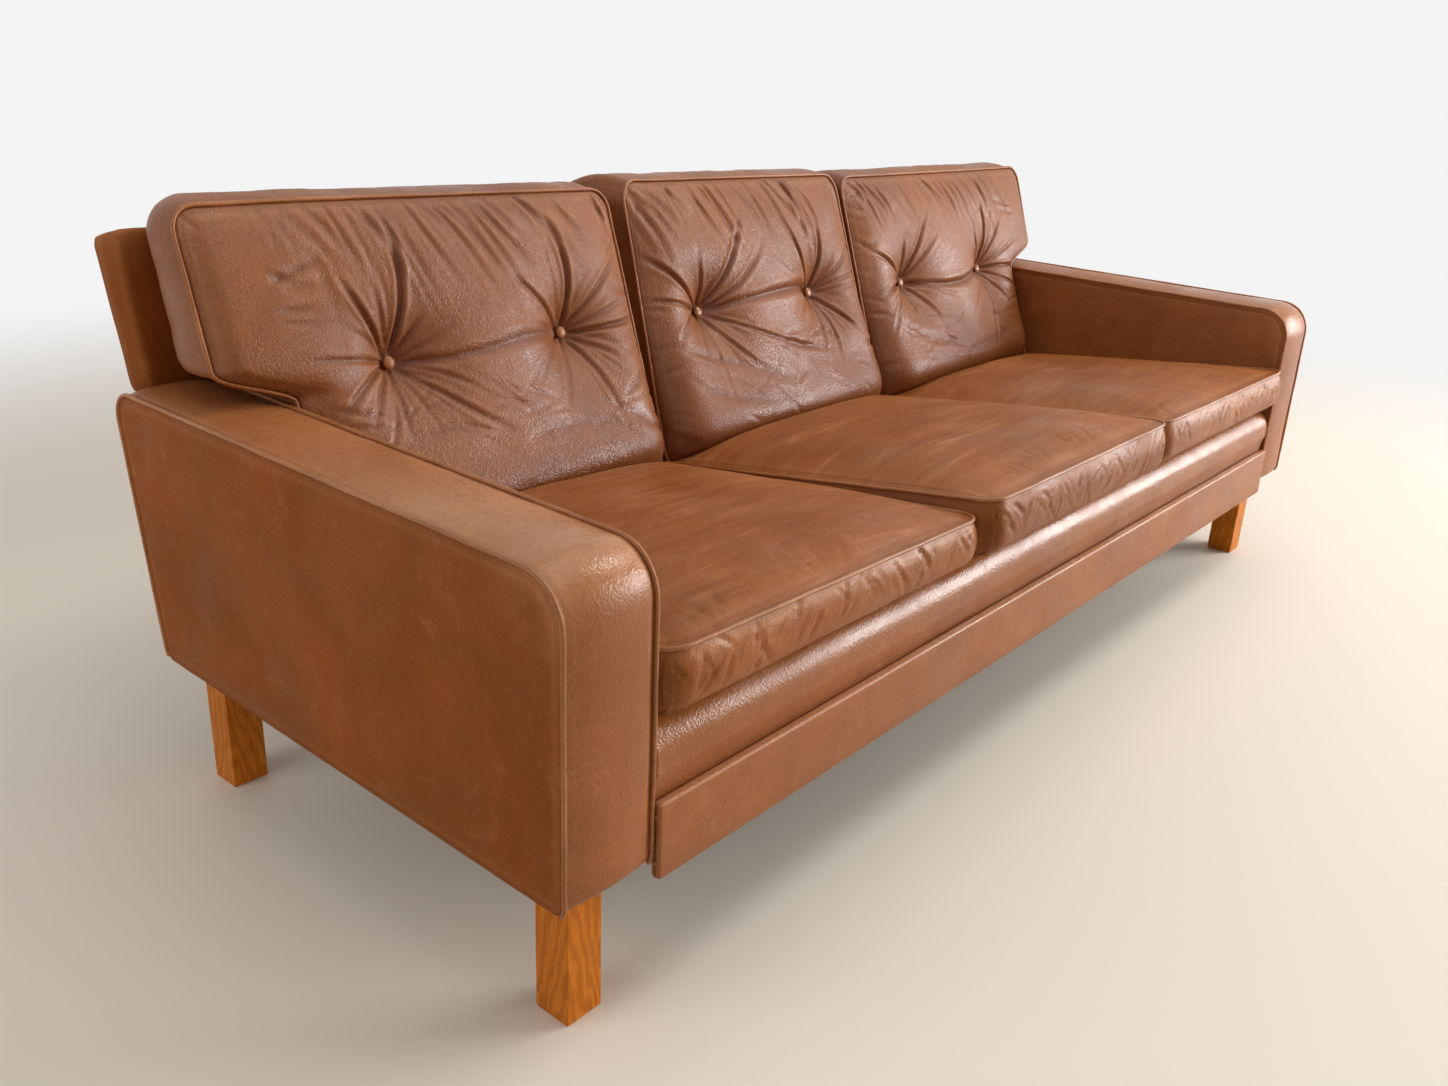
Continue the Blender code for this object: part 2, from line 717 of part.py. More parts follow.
def build_back(leather, wood):
    half_low = ARM_INNER_X - WELT_CLEAR
    foot = 0.0
    # The shoulder's front edge clears the crest of the arms.
    shoulder = (ARM_CREST_Z + SHOULDER_CLEAR - BASE_Z) / math.cos(BOARD_LEAN)
    top = shoulder + BOARD_WIDE_HEIGHT
    points = t_outline(half_low, BOARD_HALF_WIDE, foot, shoulder, top)
    corners = {3: BOARD_LOW_CORNER, 4: BOARD_CORNER, 5: BOARD_CORNER, 6: BOARD_LOW_CORNER}
    outline = rounded(points, lambda index: corners.get(index, 0))
    mesh = outline_mesh("back_board", [outline], BOARD_BASE_THICKNESS / 2, BOARD_LEAN)
    normal = Vector((0, -math.cos(BOARD_LEAN), math.sin(BOARD_LEAN)))
    along = Vector((0, math.sin(BOARD_LEAN), math.cos(BOARD_LEAN)))
    start = Vector((0, BOARD_FOOT_Y, BASE_Z)) - normal * (BOARD_BASE_THICKNESS / 2)
    for vert in mesh.vertices:
        # The rear face swells towards the top.
        height = vert.co.dot(along)
        if vert.co.dot(normal) < 0:
            swell = (BOARD_TOP_THICKNESS - BOARD_BASE_THICKNESS) * max(0.0, height / top)
            vert.co -= normal * swell
        vert.co += start
    board = add_piece("back_board", mesh, leather)
    add_bevel(board, BOARD_EDGE)

    half = BACK_FRAME_THICKNESS / 2
    wall = (BOARD_BASE_THICKNESS - BACK_FRAME_THICKNESS) / 2
    side = BOARD_EDGE + wall
    cavity = t_outline(half_low - side, BOARD_HALF_WIDE - side, foot - wall, shoulder + side, top - side)
    hollow = outline_mesh("hollow_back", [cavity], half + GAP, BOARD_LEAN)
    rail = BACK_FRAME_RAIL
    edge = side + GAP
    outer = t_outline(half_low - edge, BOARD_HALF_WIDE - edge, foot, shoulder + edge, top - edge)
    span = half_low - edge
    bays = SEATS
    bay = (2 * span - (bays + 1) * rail) / bays
    windows = []
    for index in range(bays):
        x0 = -span + rail + index * (bay + rail)
        windows.append([(x0, foot + rail), (x0, top - edge - rail), (x0 + bay, top - edge - rail),
                        (x0 + bay, foot + rail)])
    frame = outline_mesh("back_frame", [outer] + windows, half, BOARD_LEAN)
    for mesh in (hollow, frame):
        for vert in mesh.vertices:
            vert.co += start
    cut(board, add_cutter("hollow_back", hollow))
    add_piece("back_frame", frame, wood)


# Back cushions.

def button_places(index):
    middle = (index - (SEATS - 1) / 2) * SEAT_PITCH
    return [middle - BUTTON_SPREAD, middle + BUTTON_SPREAD]


def build_back_cushion(index, leather, welt, button_leather):
    name = ("left", "middle", "right")[index]
    half = SEAT_PITCH / 2
    middle_x = (index - (SEATS - 1) / 2) * SEAT_PITCH
    ear_left = index == 0
    ear_right = index == SEATS - 1
    foot_z = cushion_rest(CUSHION_FRONT_FOOT_Y) + WELT_REACH
    foot_back_z = cushion_rest(back_board_face(foot_z)) + WELT_REACH
    top_z = CUSHION_TOP_FRONT_Z - CUSHION_SINK[index]
    button_z = BUTTON_Z - CUSHION_SINK[index]
    height = top_z - foot_z
    half_height = height / 2
    ear_z = ARM_CREST_Z + SEAM_SETBACK - EAR_LOW
    ear_share = (ear_z - foot_z) / height
    ear_low = 2 * ear_share - 1
    ear_high = ear_low + 2 * EAR_BOTTOM_RISE / height

    def ear_at(v):
        return max(0.0, min(1.0, (v - ear_low) / (ear_high - ear_low)))

    def reach(v, has_ear, back):
        # How far the cushion's end lies from its middle at a height, set back for its welt.
        if not has_ear:
            return half - SEAM_SETBACK
        by_arm = half - WELT_CLEAR - SEAM_SETBACK
        ear_end = EAR_END_X - abs(middle_x) - SEAM_SETBACK
        if back:
            ear_end -= EAR_REAR_INSET
        return lerp(by_arm, ear_end, ear_at(v))

    def seam(u, v, back=False):
        radius = CUSHION_CORNER if v > 0 else CUSHION_LOW_CORNER
        a, b = round_corner(u * half, v * half_height, half, half_height, radius)
        end = reach(v, ear_left if u < 0 else ear_right, back)
        core, rim = CUSHION_CORE * half, half - CUSHION_CORNER
        # The middle stays put, and what lies beyond it stretches to the end.
        if abs(a) > rim:
            a += math.copysign(1, a) * (end - half)
        elif abs(a) > core:
            stretch = (end - CUSHION_CORNER - core) / (rim - core)
            a = math.copysign(core + (abs(a) - core) * stretch, a)
        x = middle_x + a
        share = (b / half_height + 1) / 2
        z = lerp(foot_z, top_z, share)
        if not back:
            return Vector((x, cushion_seam_face(z), z))
        if share < ear_share:
            z += (foot_back_z - foot_z) * (1 - share / ear_share)
        else:
            z += (CUSHION_TOP_BACK_Z - CUSHION_TOP_FRONT_Z) * (share - ear_share) / (1 - ear_share)
        return Vector((x, back_board_face(z) - WELT_CLEAR - REAR_WELT_ROOM, z))

    button_v = 2 * (button_z - foot_z) / height - 1
    buttons = button_places(index)

    def fullness(u, v):
        low = 1 - CUSHION_CROWN_LOW * v
        power = CUSHION_BELLY_POWER if v < 0 else 4
        return CUSHION_CROWN * low * (1 - u ** 4) ** 0.8 * (1 - abs(v) ** power) ** 0.8

    def front_push(x, z, u, v):
        push = fullness(u, v)
        for button_x in buttons:
            away = math.hypot(x - button_x, z - button_z)
            push = lerp(push, -BUTTON_SINK, math.exp(-((max(0.0, away - TUFT_FLAT) / TUFT_WIDTH) ** 2)))
        beyond = max(0.0, abs(x - middle_x) - BUTTON_SPREAD)
        crease = math.exp(-((z - button_z) / CREASE_WIDTH) ** 2 - (beyond / CREASE_REACH) ** 2)
        nearest = min(abs(x - button_x) for button_x in buttons)
        if nearest > TUFT_FLAT:
            push -= TUFT_CREASE * crease * min(1.0, (nearest - TUFT_FLAT) / CREASE_REACH)
        return push

    forward = Vector((0, -1, CUSHION_FRONT_SLOPE)).normalized()

    def shape(u, w, v):
        # w runs from the front seam at -1 to the back seam at 1.
        front = seam(u, v)
        if w == -1:
            if abs(u) < 1 and abs(v) < 1:
                return front + forward * front_push(front.x, front.z, u, v)
            return front
        place = front.lerp(seam(u, v, back=True), (w + 1) / 2)
        side = 1 - w * w
        if abs(u) == 1:
            has_ear = ear_left if u < 0 else ear_right
            bulge = SEAM_SETBACK - GAP
            if has_ear:
                bulge = lerp(bulge, EAR_BULGE, ear_at(v))
            place.x += u * side * bulge
        if v == 1:
            place.z += CUSHION_TOP_CROWN * side
        if v == -1:
            place.z -= WELT_REACH * side
        return place

    flat = TUFT_FLAT / math.sqrt(2)
    between = (BUTTON_SPREAD - CREASE_REACH) / half
    corner_x = corner_steps(half, CUSHION_CORNER, 2)
    corner_z = corner_steps(half_height, CUSHION_CORNER, 2)
    corner_low = corner_steps(half_height, CUSHION_LOW_CORNER, 1)
    x_cuts = [-value for value in corner_x] + corner_x
    x_cuts += [(x + step - middle_x) / half for x in buttons for step in (-flat, 0.0, flat)]
    x_cuts += spread(-between, between, 3) + [-CUSHION_CORE, CUSHION_CORE]
    z_cuts = [button_v + 2 * step / height for step in (-flat, 0.0, flat)]
    z_cuts += corner_z + [-value for value in corner_low]
    z_cuts += spread(-corner_low[0], button_v, ROWS_BELOW_BUTTONS)
    z_cuts += spread(button_v, corner_z[0], ROWS_ABOVE_BUTTONS)
    zs = thinned(z_cuts, [ear_low, ear_high] + corner_z + z_cuts[:3])
    mesh = soft_block(f"back_cushion_{name}", (sorted(x_cuts), [-0.4, 0.4], zs), shape,
                      lambda middle, normal: normal.y < 0.5)
    add_piece(f"back_cushion_{name}", mesh, leather)

    bends = [ear_low, ear_high]
    rim = rim_points(corner_x, corner_z, corner_low, bends if ear_left else (), bends if ear_right else ())
    ring(f"back_welt_front_{name}", [seam(u, v) for u, v in rim], welt, forward, WELT_LIFT_SHARE)
    ring(f"back_welt_rear_{name}", [seam(u, v, back=True) for u, v in rim], welt, forward,
         -WELT_LIFT_SHARE)

    for side, x in zip(("left", "right"), buttons):
        base = Vector((x, cushion_seam_face(button_z), button_z)) - forward * (BUTTON_SINK - GAP)
        add_button(f"button_{name}_{side}", base, forward, button_leather)


def thinned(values, keep):
    # The values in order, without those that lie close to one that has to stay.
    result = set(keep)
    for value in values:
        if all(abs(value - other) > ROW_SPACING for other in result):
            result.add(value)
    return sorted(result)


def add_button(name, base, forward, material):
    bm = bmesh.new()
    bmesh.ops.create_uvsphere(bm, u_segments=BUTTON_SIDES, v_segments=BUTTON_RINGS, radius=1.0)
    bmesh.ops.scale(bm, verts=bm.verts, vec=(BUTTON_RADIUS, BUTTON_RADIUS, BUTTON_HEIGHT / 2))
    button = add_piece(name, mesh_from(bm, name), material)
    button.location = base + forward * BUTTON_HEIGHT / 2
    button.rotation_mode = "QUATERNION"
    button.rotation_quaternion = forward.to_track_quat("Z", "Y")


def main():
    leather = make_material("leather", LEATHER, 0.42)
    welt = make_material("welt_leather", (0.250, 0.082, 0.027), 0.45)
    button_leather = make_material("button_leather", (0.270, 0.088, 0.029), 0.35)
    oak = make_material("oak", (0.42, 0.17, 0.045), 0.40)
    wood = make_material("frame_wood", (0.60, 0.42, 0.24), 0.70)
    webbing = make_material("webbing", (0.10, 0.08, 0.06), 0.85)
    cloth = make_material("dust_cloth", (0.03, 0.03, 0.03), 0.95)
    steel = make_material("bolt_steel", (0.55, 0.55, 0.55), 0.35, 1.0)

    bores = build_legs(oak, steel)
    for side, sign in (("left", -1), ("right", 1)):
        build_arm(side, sign, leather, welt, wood, [bores["front", side], bores["rear", side]])
    build_seat_frame(wood, webbing, cloth, leather)
    for index in range(SEATS):
        build_seat(index, leather, welt)
    build_back(leather, wood)
    for index in range(SEATS):
        build_back_cushion(index, leather, welt, button_leather)
    center_footprint()


def center_footprint():
    # Moves the sofa so that the middle of its footprint is the origin.
    bpy.context.view_layer.update()
    graph = bpy.context.evaluated_depsgraph_get()
    ys = []
    for obj in PARTS.objects:
        if obj.type == "EMPTY":
            continue
        piece = obj.evaluated_get(graph)
        mesh = piece.to_mesh()
        ys += [(piece.matrix_world @ vert.co).y for vert in mesh.vertices]
        piece.to_mesh_clear()
    ORIGIN.location.y = -(min(ys) + max(ys)) / 2


main()
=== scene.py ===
import itertools
import json
import math

import bpy
import numpy as np
from mathutils import Matrix, Vector


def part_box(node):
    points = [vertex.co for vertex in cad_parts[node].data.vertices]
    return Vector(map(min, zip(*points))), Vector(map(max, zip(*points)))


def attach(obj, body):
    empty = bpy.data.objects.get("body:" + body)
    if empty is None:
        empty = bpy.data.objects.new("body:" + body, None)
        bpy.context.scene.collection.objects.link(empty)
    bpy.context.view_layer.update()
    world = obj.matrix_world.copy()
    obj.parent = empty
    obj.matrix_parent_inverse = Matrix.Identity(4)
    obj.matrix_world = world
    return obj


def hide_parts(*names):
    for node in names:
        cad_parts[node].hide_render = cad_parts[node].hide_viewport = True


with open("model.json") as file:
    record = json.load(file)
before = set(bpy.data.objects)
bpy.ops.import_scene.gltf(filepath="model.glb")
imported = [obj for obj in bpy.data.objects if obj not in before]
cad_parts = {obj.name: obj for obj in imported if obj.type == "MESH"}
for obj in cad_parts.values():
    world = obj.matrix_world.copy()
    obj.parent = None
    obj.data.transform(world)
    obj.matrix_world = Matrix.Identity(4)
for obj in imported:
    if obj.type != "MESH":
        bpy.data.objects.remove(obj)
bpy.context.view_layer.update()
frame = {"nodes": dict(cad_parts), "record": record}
# every Y below is counted from the front face of the front legs
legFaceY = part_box("leg_front_left")[0].y

sofa = {
    "seats": 3,
    "armInnerX": 0.923,
    "seatFrontZ": 0.428,
    "seatFrontY": -0.044,
    "seatSlope": 0.107,
    "seatThickness": 0.082,
    "boardLean": math.radians(14),
    "boardFootY": 0.669,
    "boardFootZ": 0.190,
    "seamSetback": 0.007,
    "weltRadius": 0.0027,
    "weltOff": 0.0035,
    "cordRadius": 0.0027,
    "stitchAt": 0.0065,
}
seatPitch = 2 * sofa["armInnerX"] / sofa["seats"]


def cushionMiddle(index):
    return (index - 1) * seatPitch


def seatTop(y):
    return sofa["seatFrontZ"] - (y - sofa["seatFrontY"]) * sofa["seatSlope"]


def boardFace(z):
    return sofa["boardFootY"] + (z - sofa["boardFootZ"]) * math.tan(sofa["boardLean"])


# small tools for shaping leather

def mix(low, high, share):
    return low + (high - low) * share


def fade(low, high, value):
    share = np.clip((value - low) / (high - low), 0, 1)
    return share * share * (3 - 2 * share)


def band(distance, at, width):
    # 1 at the given distance, fading away on both sides of it
    return np.exp(-((distance - at) / width) ** 2)


def lumps(points, size, seed=0):
    # smooth bumps from -1 to 1, of about the given size along each axis
    place = points / np.asarray(size, float) + seed * 11.37
    cell = np.floor(place)
    share = place - cell
    share = share * share * (3 - 2 * share)
    total = np.zeros(len(points))
    for corner in itertools.product((0, 1), repeat=3):
        at = cell + corner
        value = np.sin(at @ np.array([127.1, 311.7, 74.7]) + seed) * 43758.5453
        value = (value - np.floor(value)) * 2 - 1
        total += value * np.prod(np.where(corner, share, 1 - share), axis=1)
    return total


def steps(count, half=None, inward=(0.0025, 0.005, 0.008, 0.011, 0.015)):
    # even cuts from -1 to 1, with closer ones beside the seams where the half length is given
    cuts = set(np.round(np.linspace(-1, 1, count + 1), 5))
    if half:
        cuts |= {sign * (1 - distance / half) for distance in inward for sign in (-1, 1)}
    return np.array(sorted(cuts))


def blockGrid(us, vs, ws, plain=None):
    # the surface of a box from -1 to 1, cut along its three axes
    # a face that nobody sees, "rear" or "bottom", is left as one polygon
    shape = (len(us), len(vs), len(ws))
    rim = np.zeros(shape, bool)
    rim[[0, -1]] = True
    rim[:, [0, -1]] = True
    rim[:, :, [0, -1]] = True
    if plain == "rear":
        rim[1:-1, -1, 1:-1] = False
    if plain == "bottom":
        rim[1:-1, 1:-1, 0] = False
    ids = np.full(shape, -1)
    ids[rim] = np.arange(rim.sum())
    i, j, k = np.nonzero(rim)
    faces = []

    def side(grid, flip, whole=False):
        if whole:
            ring = np.concatenate([grid[:-1, 0], grid[-1, :-1], grid[:0:-1, -1], grid[0, :0:-1]])
            quads = [ring]
        else:
            around = [grid[:-1, :-1], grid[1:, :-1], grid[1:, 1:], grid[:-1, 1:]]
            quads = np.stack(around, -1).reshape(-1, 4)
        faces.extend((quad[::-1] if flip else quad).tolist() for quad in quads)

    side(ids[:, :, -1], False)
    side(ids[:, :, 0], True, plain == "bottom")
    side(ids[:, -1, :], True, plain == "rear")
    side(ids[:, 0, :], False)
    side(ids[-1, :, :], False)
    side(ids[0, :, :], True)
    return us[i], vs[j], ws[k], faces


def roundCorner(a, b, halfA, halfB, radius):
    # bends the corners of a rectangle of points into arcs
    coreA = np.clip(a, -(halfA - radius), halfA - radius)
    coreB = np.clip(b, -(halfB - radius), halfB - radius)
    outA, outB = a - coreA, b - coreB
    reach = np.maximum(np.abs(outA), np.abs(outB))
    length = np.hypot(outA, outB)
    scale = np.where((length > 1e-9) & (outA != 0) & (outB != 0), reach / np.maximum(length, 1e-9), 1.0)
    return coreA + outA * scale, coreB + outB * scale


def addMesh(name, points, faces, material):
    mesh = bpy.data.meshes.new(name)
    points = np.asarray(points, float) + (0, legFaceY, 0)
    mesh.from_pydata(points.tolist(), [], faces)
    mesh.shade_smooth()
    mesh.materials.append(material)
    obj = bpy.data.objects.new(name, mesh)
    bpy.context.scene.collection.objects.link(obj)
    return obj


def readPoints(obj):
    flat = np.empty(len(obj.data.vertices) * 3)
    obj.data.vertices.foreach_get("co", flat)
    return flat.reshape(-1, 3)


def readNormals(obj):
    flat = np.empty(len(obj.data.vertices) * 3, np.float32)
    obj.data.vertex_normals.foreach_get("vector", flat)
    return flat.reshape(-1, 3)


def pushOut(obj, amount):
    # moves each point along its normal
    points = readPoints(obj) + readNormals(obj) * amount[:, None]
    obj.data.vertices.foreach_set("co", points.ravel())
    obj.data.update()


def paint(obj, name, values):
    # a value for each point, which the leather's material reads as rubbed or painted highlight, as dirty or
    # painted shade, or as shiny
    layer = obj.data.attributes.new(name, "FLOAT", "POINT")
    layer.data.foreach_set("value", np.asarray(values, np.float32))


def dress(obj, slot, *nodes, fill=None):
    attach(obj, "root")
    if nodes:
        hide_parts(*nodes)


# creases: each is a valley with a soft ridge on both sides, drawn along a bent line

def bentLine(start, angle, length, bend, count=14):
    turn = math.radians(angle)
    run = np.array([math.cos(turn), math.sin(turn)])
    left = np.array([-run[1], run[0]])
    share = np.linspace(0, 1, count)[:, None]
    return np.asarray(start) + run * length * share + left * bend * 4 * share * (1 - share)


def lineDistance(a, b, line):
    # distance of each point (a, b) from a line, and how far along the line the nearest place is
    best = np.full(len(a), 1e9)
    along = np.zeros(len(a))
    count = len(line) - 1
    for index in range(count):
        p, q = line[index], line[index + 1]
        run = q - p
        t = np.clip(((a - p[0]) * run[0] + (b - p[1]) * run[1]) / max(run @ run, 1e-12), 0, 1)
        away = np.hypot(a - p[0] - t * run[0], b - p[1] - t * run[1])
        closer = away < best
        best = np.where(closer, away, best)
        along = np.where(closer, (index + t) / count, along)
    return best, along


creaseShape = {"startWidth": 0.60, "spread": 0.75, "power": 1.25, "ridgeAt": 2.1, "ridgeWidth": 1.05}


def crease(a, b, line, depth, width, startFade=0.12, endFade=0.55, ridgeShare=0.24):
    away, along = lineDistance(a, b, line)
    wide = width * (creaseShape["startWidth"] + creaseShape["spread"] * along)
    strength = fade(0, startFade, along) * (1 - fade(endFade, 1.0, along))
    valley = np.exp(-(away / wide) ** creaseShape["power"])
    ridge = band(away, creaseShape["ridgeAt"] * wide, creaseShape["ridgeWidth"] * wide)
    return depth * strength * (ridgeShare * ridge - valley)


def drawnCrease(rng, a, b, start, turn, look):
    # a crease whose length, bend, depth and width are drawn within the limits of its look
    bend = look["bend"]
    line = bentLine(start, turn, rng.uniform(*look["length"]), rng.uniform(-bend, bend), look["points"])
    return crease(a, b, line, rng.uniform(*look["depth"]), rng.uniform(*look["width"]), *look["fades"])


def seamGroove(edge, at=0.010, width=0.0013, depth=0.0009):
    # the pressed line of a row of stitches beside a cord
    return -depth * band(edge, at, width)


# leather, oak and the plain materials inside

leatherLook = {
    "color": (0.330, 0.103, 0.022),
    "deep": (0.200, 0.053, 0.009),
    "rubbed": (0.500, 0.215, 0.090),
    "rough": 0.40,
    "grainSize": 3.4,
    "grainHeight": 0.20,
    "specular": 0.34,
    "reflected": (1.0, 0.95, 0.91),
    "streaks": 0.0,
    "crackle": 0.12,
    "wrinkle": 0.07,
    "even": 0.45,
}
# noise: size, detail, roughness and distortion
leatherNoise = {
    "broad": (5.5, 4.0, 0.6, 0.6),
    "patches": (17.0, 4.0, 0.6, 1.2),
    "fine": (95.0, 3.0, 0.6, 0.0),
    "speckle": (230.0, 4.0, 0.72, 0.5),
    "drawn": (4.6, 6.0, 0.70, 0.9),
    "polish": (8.0, 3.0, 0.6, 0.4),
    "wrinkle": (62.0, 5.0, 0.68, 1.6),
}
# mottling: noise, where it begins and is full, how much, and towards which colour
mottling = (
    ("patches", 0.56, 0.80, 0.30, "rubbed"),
    ("patches", 0.44, 0.24, 0.30, "deep"),
    ("fine", 0.55, 0.85, 0.22, "rubbed"),
    ("speckle", 0.50, 0.32, 0.55, "deep"),
    ("speckle", 0.56, 0.74, 0.30, "rubbed"),
)
# streaks along the seat: where each begins and is full, its share, and towards which colour
streaking = (
    (0.50, 0.68, 1.0, "deep"),
    (0.45, 0.30, 0.8, "rubbed"),
)
leatherFinish = {
    "shineReach": 0.16,
    "polishSpan": (0.36, 0.68, 0.09, -0.09),
    "fineSpan": (0.3, 0.7, -0.03, 0.05),
    "wearSpan": (0.25, 0.60, 0.68, 1.0),
    "wobbleSize": 120.0,
    "wobbleReach": 0.006,
    "crackleSize": 135.0,
    "crackleEdge": 0.13,
    "crackleWhere": (0.34, 0.66, 0.15, 1.0),
    "grainDepth": 0.0014,
    "crackleDepth": 0.0010,
    "wrinkleDepth": 0.0030,
}


def nodeLink(tree, source, target):
    tree.links.new(source, target)


def newMaterial(name):
    material = bpy.data.materials.new(name)
    material.use_nodes = True
    tree = material.node_tree
    return material, tree, tree.nodes["Principled BSDF"]


def place(tree, scale=(1, 1, 1), rotation=(0, 0, 0)):
    coords = tree.nodes.new("ShaderNodeTexCoord")
    mapping = tree.nodes.new("ShaderNodeMapping")
    mapping.inputs["Scale"].default_value = scale
    mapping.inputs["Rotation"].default_value = rotation
    nodeLink(tree, coords.outputs["Object"], mapping.inputs["Vector"])
    return mapping.outputs["Vector"]


def noise(tree, vector, scale, detail=3.0, rough=0.55, distortion=0.0):
    node = tree.nodes.new("ShaderNodeTexNoise")
    node.inputs["Scale"].default_value = scale
    node.inputs["Detail"].default_value = detail
    node.inputs["Roughness"].default_value = rough
    node.inputs["Distortion"].default_value = distortion
    nodeLink(tree, vector, node.inputs["Vector"])
    return node.outputs["Fac"]


def ranged(tree, value, low, high, outLow=0.0, outHigh=1.0):
    node = tree.nodes.new("ShaderNodeMapRange")
    node.interpolation_type = "SMOOTHSTEP"
    node.inputs["From Min"].default_value = low
    node.inputs["From Max"].default_value = high
    node.inputs["To Min"].default_value = outLow
    node.inputs["To Max"].default_value = outHigh
    nodeLink(tree, value, node.inputs["Value"])
    return node.outputs["Result"]


def maths(tree, kind, a, b):
    node = tree.nodes.new("ShaderNodeMath")
    node.operation = kind
    for socket, value in zip(node.inputs, (a, b)):
        if isinstance(value, (int, float)):
            socket.default_value = value
        else:
            nodeLink(tree, value, socket)
    return node.outputs["Value"]


def blendColor(tree, share, a, b):
    node = tree.nodes.new("ShaderNodeMix")
    node.data_type = "RGBA"
    colors = [socket for socket in node.inputs if socket.type == "RGBA"]
    for socket, value in zip(colors, (a, b)):
        if isinstance(value, tuple):
            socket.default_value = (*value, 1)
        else:
            nodeLink(tree, value, socket)
    if isinstance(share, (int, float)):
        node.inputs[0].default_value = share
    else:
        nodeLink(tree, share, node.inputs[0])
    return [socket for socket in node.outputs if socket.type == "RGBA"][0]


def painted(tree, name):
    node = tree.nodes.new("ShaderNodeAttribute")
    node.attribute_name = name
    return node.outputs["Fac"]


def bump(tree, height, strength, distance, before=None):
    node = tree.nodes.new("ShaderNodeBump")
    node.inputs["Strength"].default_value = strength
    node.inputs["Distance"].default_value = distance
    nodeLink(tree, height, node.inputs["Height"])
    if before is not None:
        nodeLink(tree, before, node.inputs["Normal"])
    return node.outputs["Normal"]


def cells(tree, vector, scale, feature="F1"):
    node = tree.nodes.new("ShaderNodeTexVoronoi")
    node.feature = feature
    node.inputs["Scale"].default_value = scale
    nodeLink(tree, vector, node.inputs["Vector"])
    return node.outputs["Distance"]


def makeLeather(name, look, shine=0.0):
    material, tree, shader = newMaterial(name)
    plain = place(tree)
    noises = {key: noise(tree, plain, *leatherNoise[key]) for key in ("broad", "patches", "fine", "speckle")}
    color = blendColor(tree, ranged(tree, noises["broad"], 0.32, 0.68), look["deep"], look["color"])
    color = blendColor(tree, look["even"], color, look["color"])
    for key, begin, full, share, towards in mottling:
        color = blendColor(tree, ranged(tree, noises[key], begin, full, 0.0, share), color, look[towards])
    if look["streaks"]:
        drawn = noise(tree, place(tree, (1.0, 8.0, 1.0), (0, 0, 0.10)), *leatherNoise["drawn"])
        for begin, full, share, towards in streaking:
            streak = ranged(tree, drawn, begin, full, 0.0, share * look["streaks"])
            color = blendColor(tree, streak, color, look[towards])
    # rubbed places, some of them painted highlight, and dark seams, stains and dirt, with painted shade in
    # creases, hollows and joins
    fine = noises["fine"]
    wearAndHighlight = maths(tree, "MULTIPLY", painted(tree, "wearAndHighlight"), ranged(tree, fine, *leatherFinish["wearSpan"]))
    color = blendColor(tree, wearAndHighlight, color, look["rubbed"])
    color = blendColor(tree, painted(tree, "dirtAndShade"), color, look["deep"])
    nodeLink(tree, color, shader.inputs["Base Color"])

    # gloss: polished where people lean, dull where the surface has dried
    polish = ranged(tree, noise(tree, plain, *leatherNoise["polish"]), *leatherFinish["polishSpan"])
    rough = maths(tree, "ADD", polish, look["rough"] - shine)
    polished = maths(tree, "MULTIPLY", painted(tree, "shine"), leatherFinish["shineReach"])
    rough = maths(tree, "SUBTRACT", rough, polished)
    rough = maths(tree, "ADD", rough, ranged(tree, fine, *leatherFinish["fineSpan"]))
    nodeLink(tree, rough, shader.inputs["Roughness"])
    shader.inputs["Specular IOR Level"].default_value = look["specular"]
    shader.inputs["Specular Tint"].default_value = (*look["reflected"], 1)

    # pebbled grain, then the fine crackle of old leather, then small wrinkles
    warp = tree.nodes.new("ShaderNodeVectorMath")
    warp.operation = "ADD"
    wobble = tree.nodes.new("ShaderNodeTexNoise")
    wobble.inputs["Scale"].default_value = leatherFinish["wobbleSize"]
    nodeLink(tree, plain, wobble.inputs["Vector"])
    shrink = tree.nodes.new("ShaderNodeVectorMath")
    shrink.operation = "SCALE"
    shrink.inputs["Scale"].default_value = leatherFinish["wobbleReach"]
    nodeLink(tree, wobble.outputs["Color"], shrink.inputs[0])
    nodeLink(tree, plain, warp.inputs[0])
    nodeLink(tree, shrink.outputs["Vector"], warp.inputs[1])
    grain = cells(tree, warp.outputs["Vector"], 1000.0 / look["grainSize"])
    normal = bump(tree, grain, look["grainHeight"], leatherFinish["grainDepth"])
    crackle = cells(tree, warp.outputs["Vector"], leatherFinish["crackleSize"], "DISTANCE_TO_EDGE")
    crackle = ranged(tree, crackle, 0.0, leatherFinish["crackleEdge"])
    where = ranged(tree, noise(tree, plain, 7.0), *leatherFinish["crackleWhere"])
    crackle = maths(tree, "MULTIPLY", crackle, where)
    normal = bump(tree, crackle, look["crackle"], leatherFinish["crackleDepth"], normal)
    wrinkle = noise(tree, place(tree, (1.0, 1.0, 1.6)), *leatherNoise["wrinkle"])
    normal = bump(tree, wrinkle, look["wrinkle"], leatherFinish["wrinkleDepth"], normal)
    nodeLink(tree, normal, shader.inputs["Normal"])
    return material


oakLook = {
    "light": (0.600, 0.185, 0.018),
    "dark": (0.360, 0.094, 0.008),
    "rough": 0.36,
    "specular": 0.10,
    "reflected": (1.0, 0.78, 0.50),
    "soot": (0.05, 0.016, 0.005),
    "waveSize": 46.0,
    "waveBend": 9.0,
    "poreSize": 420.0,
}


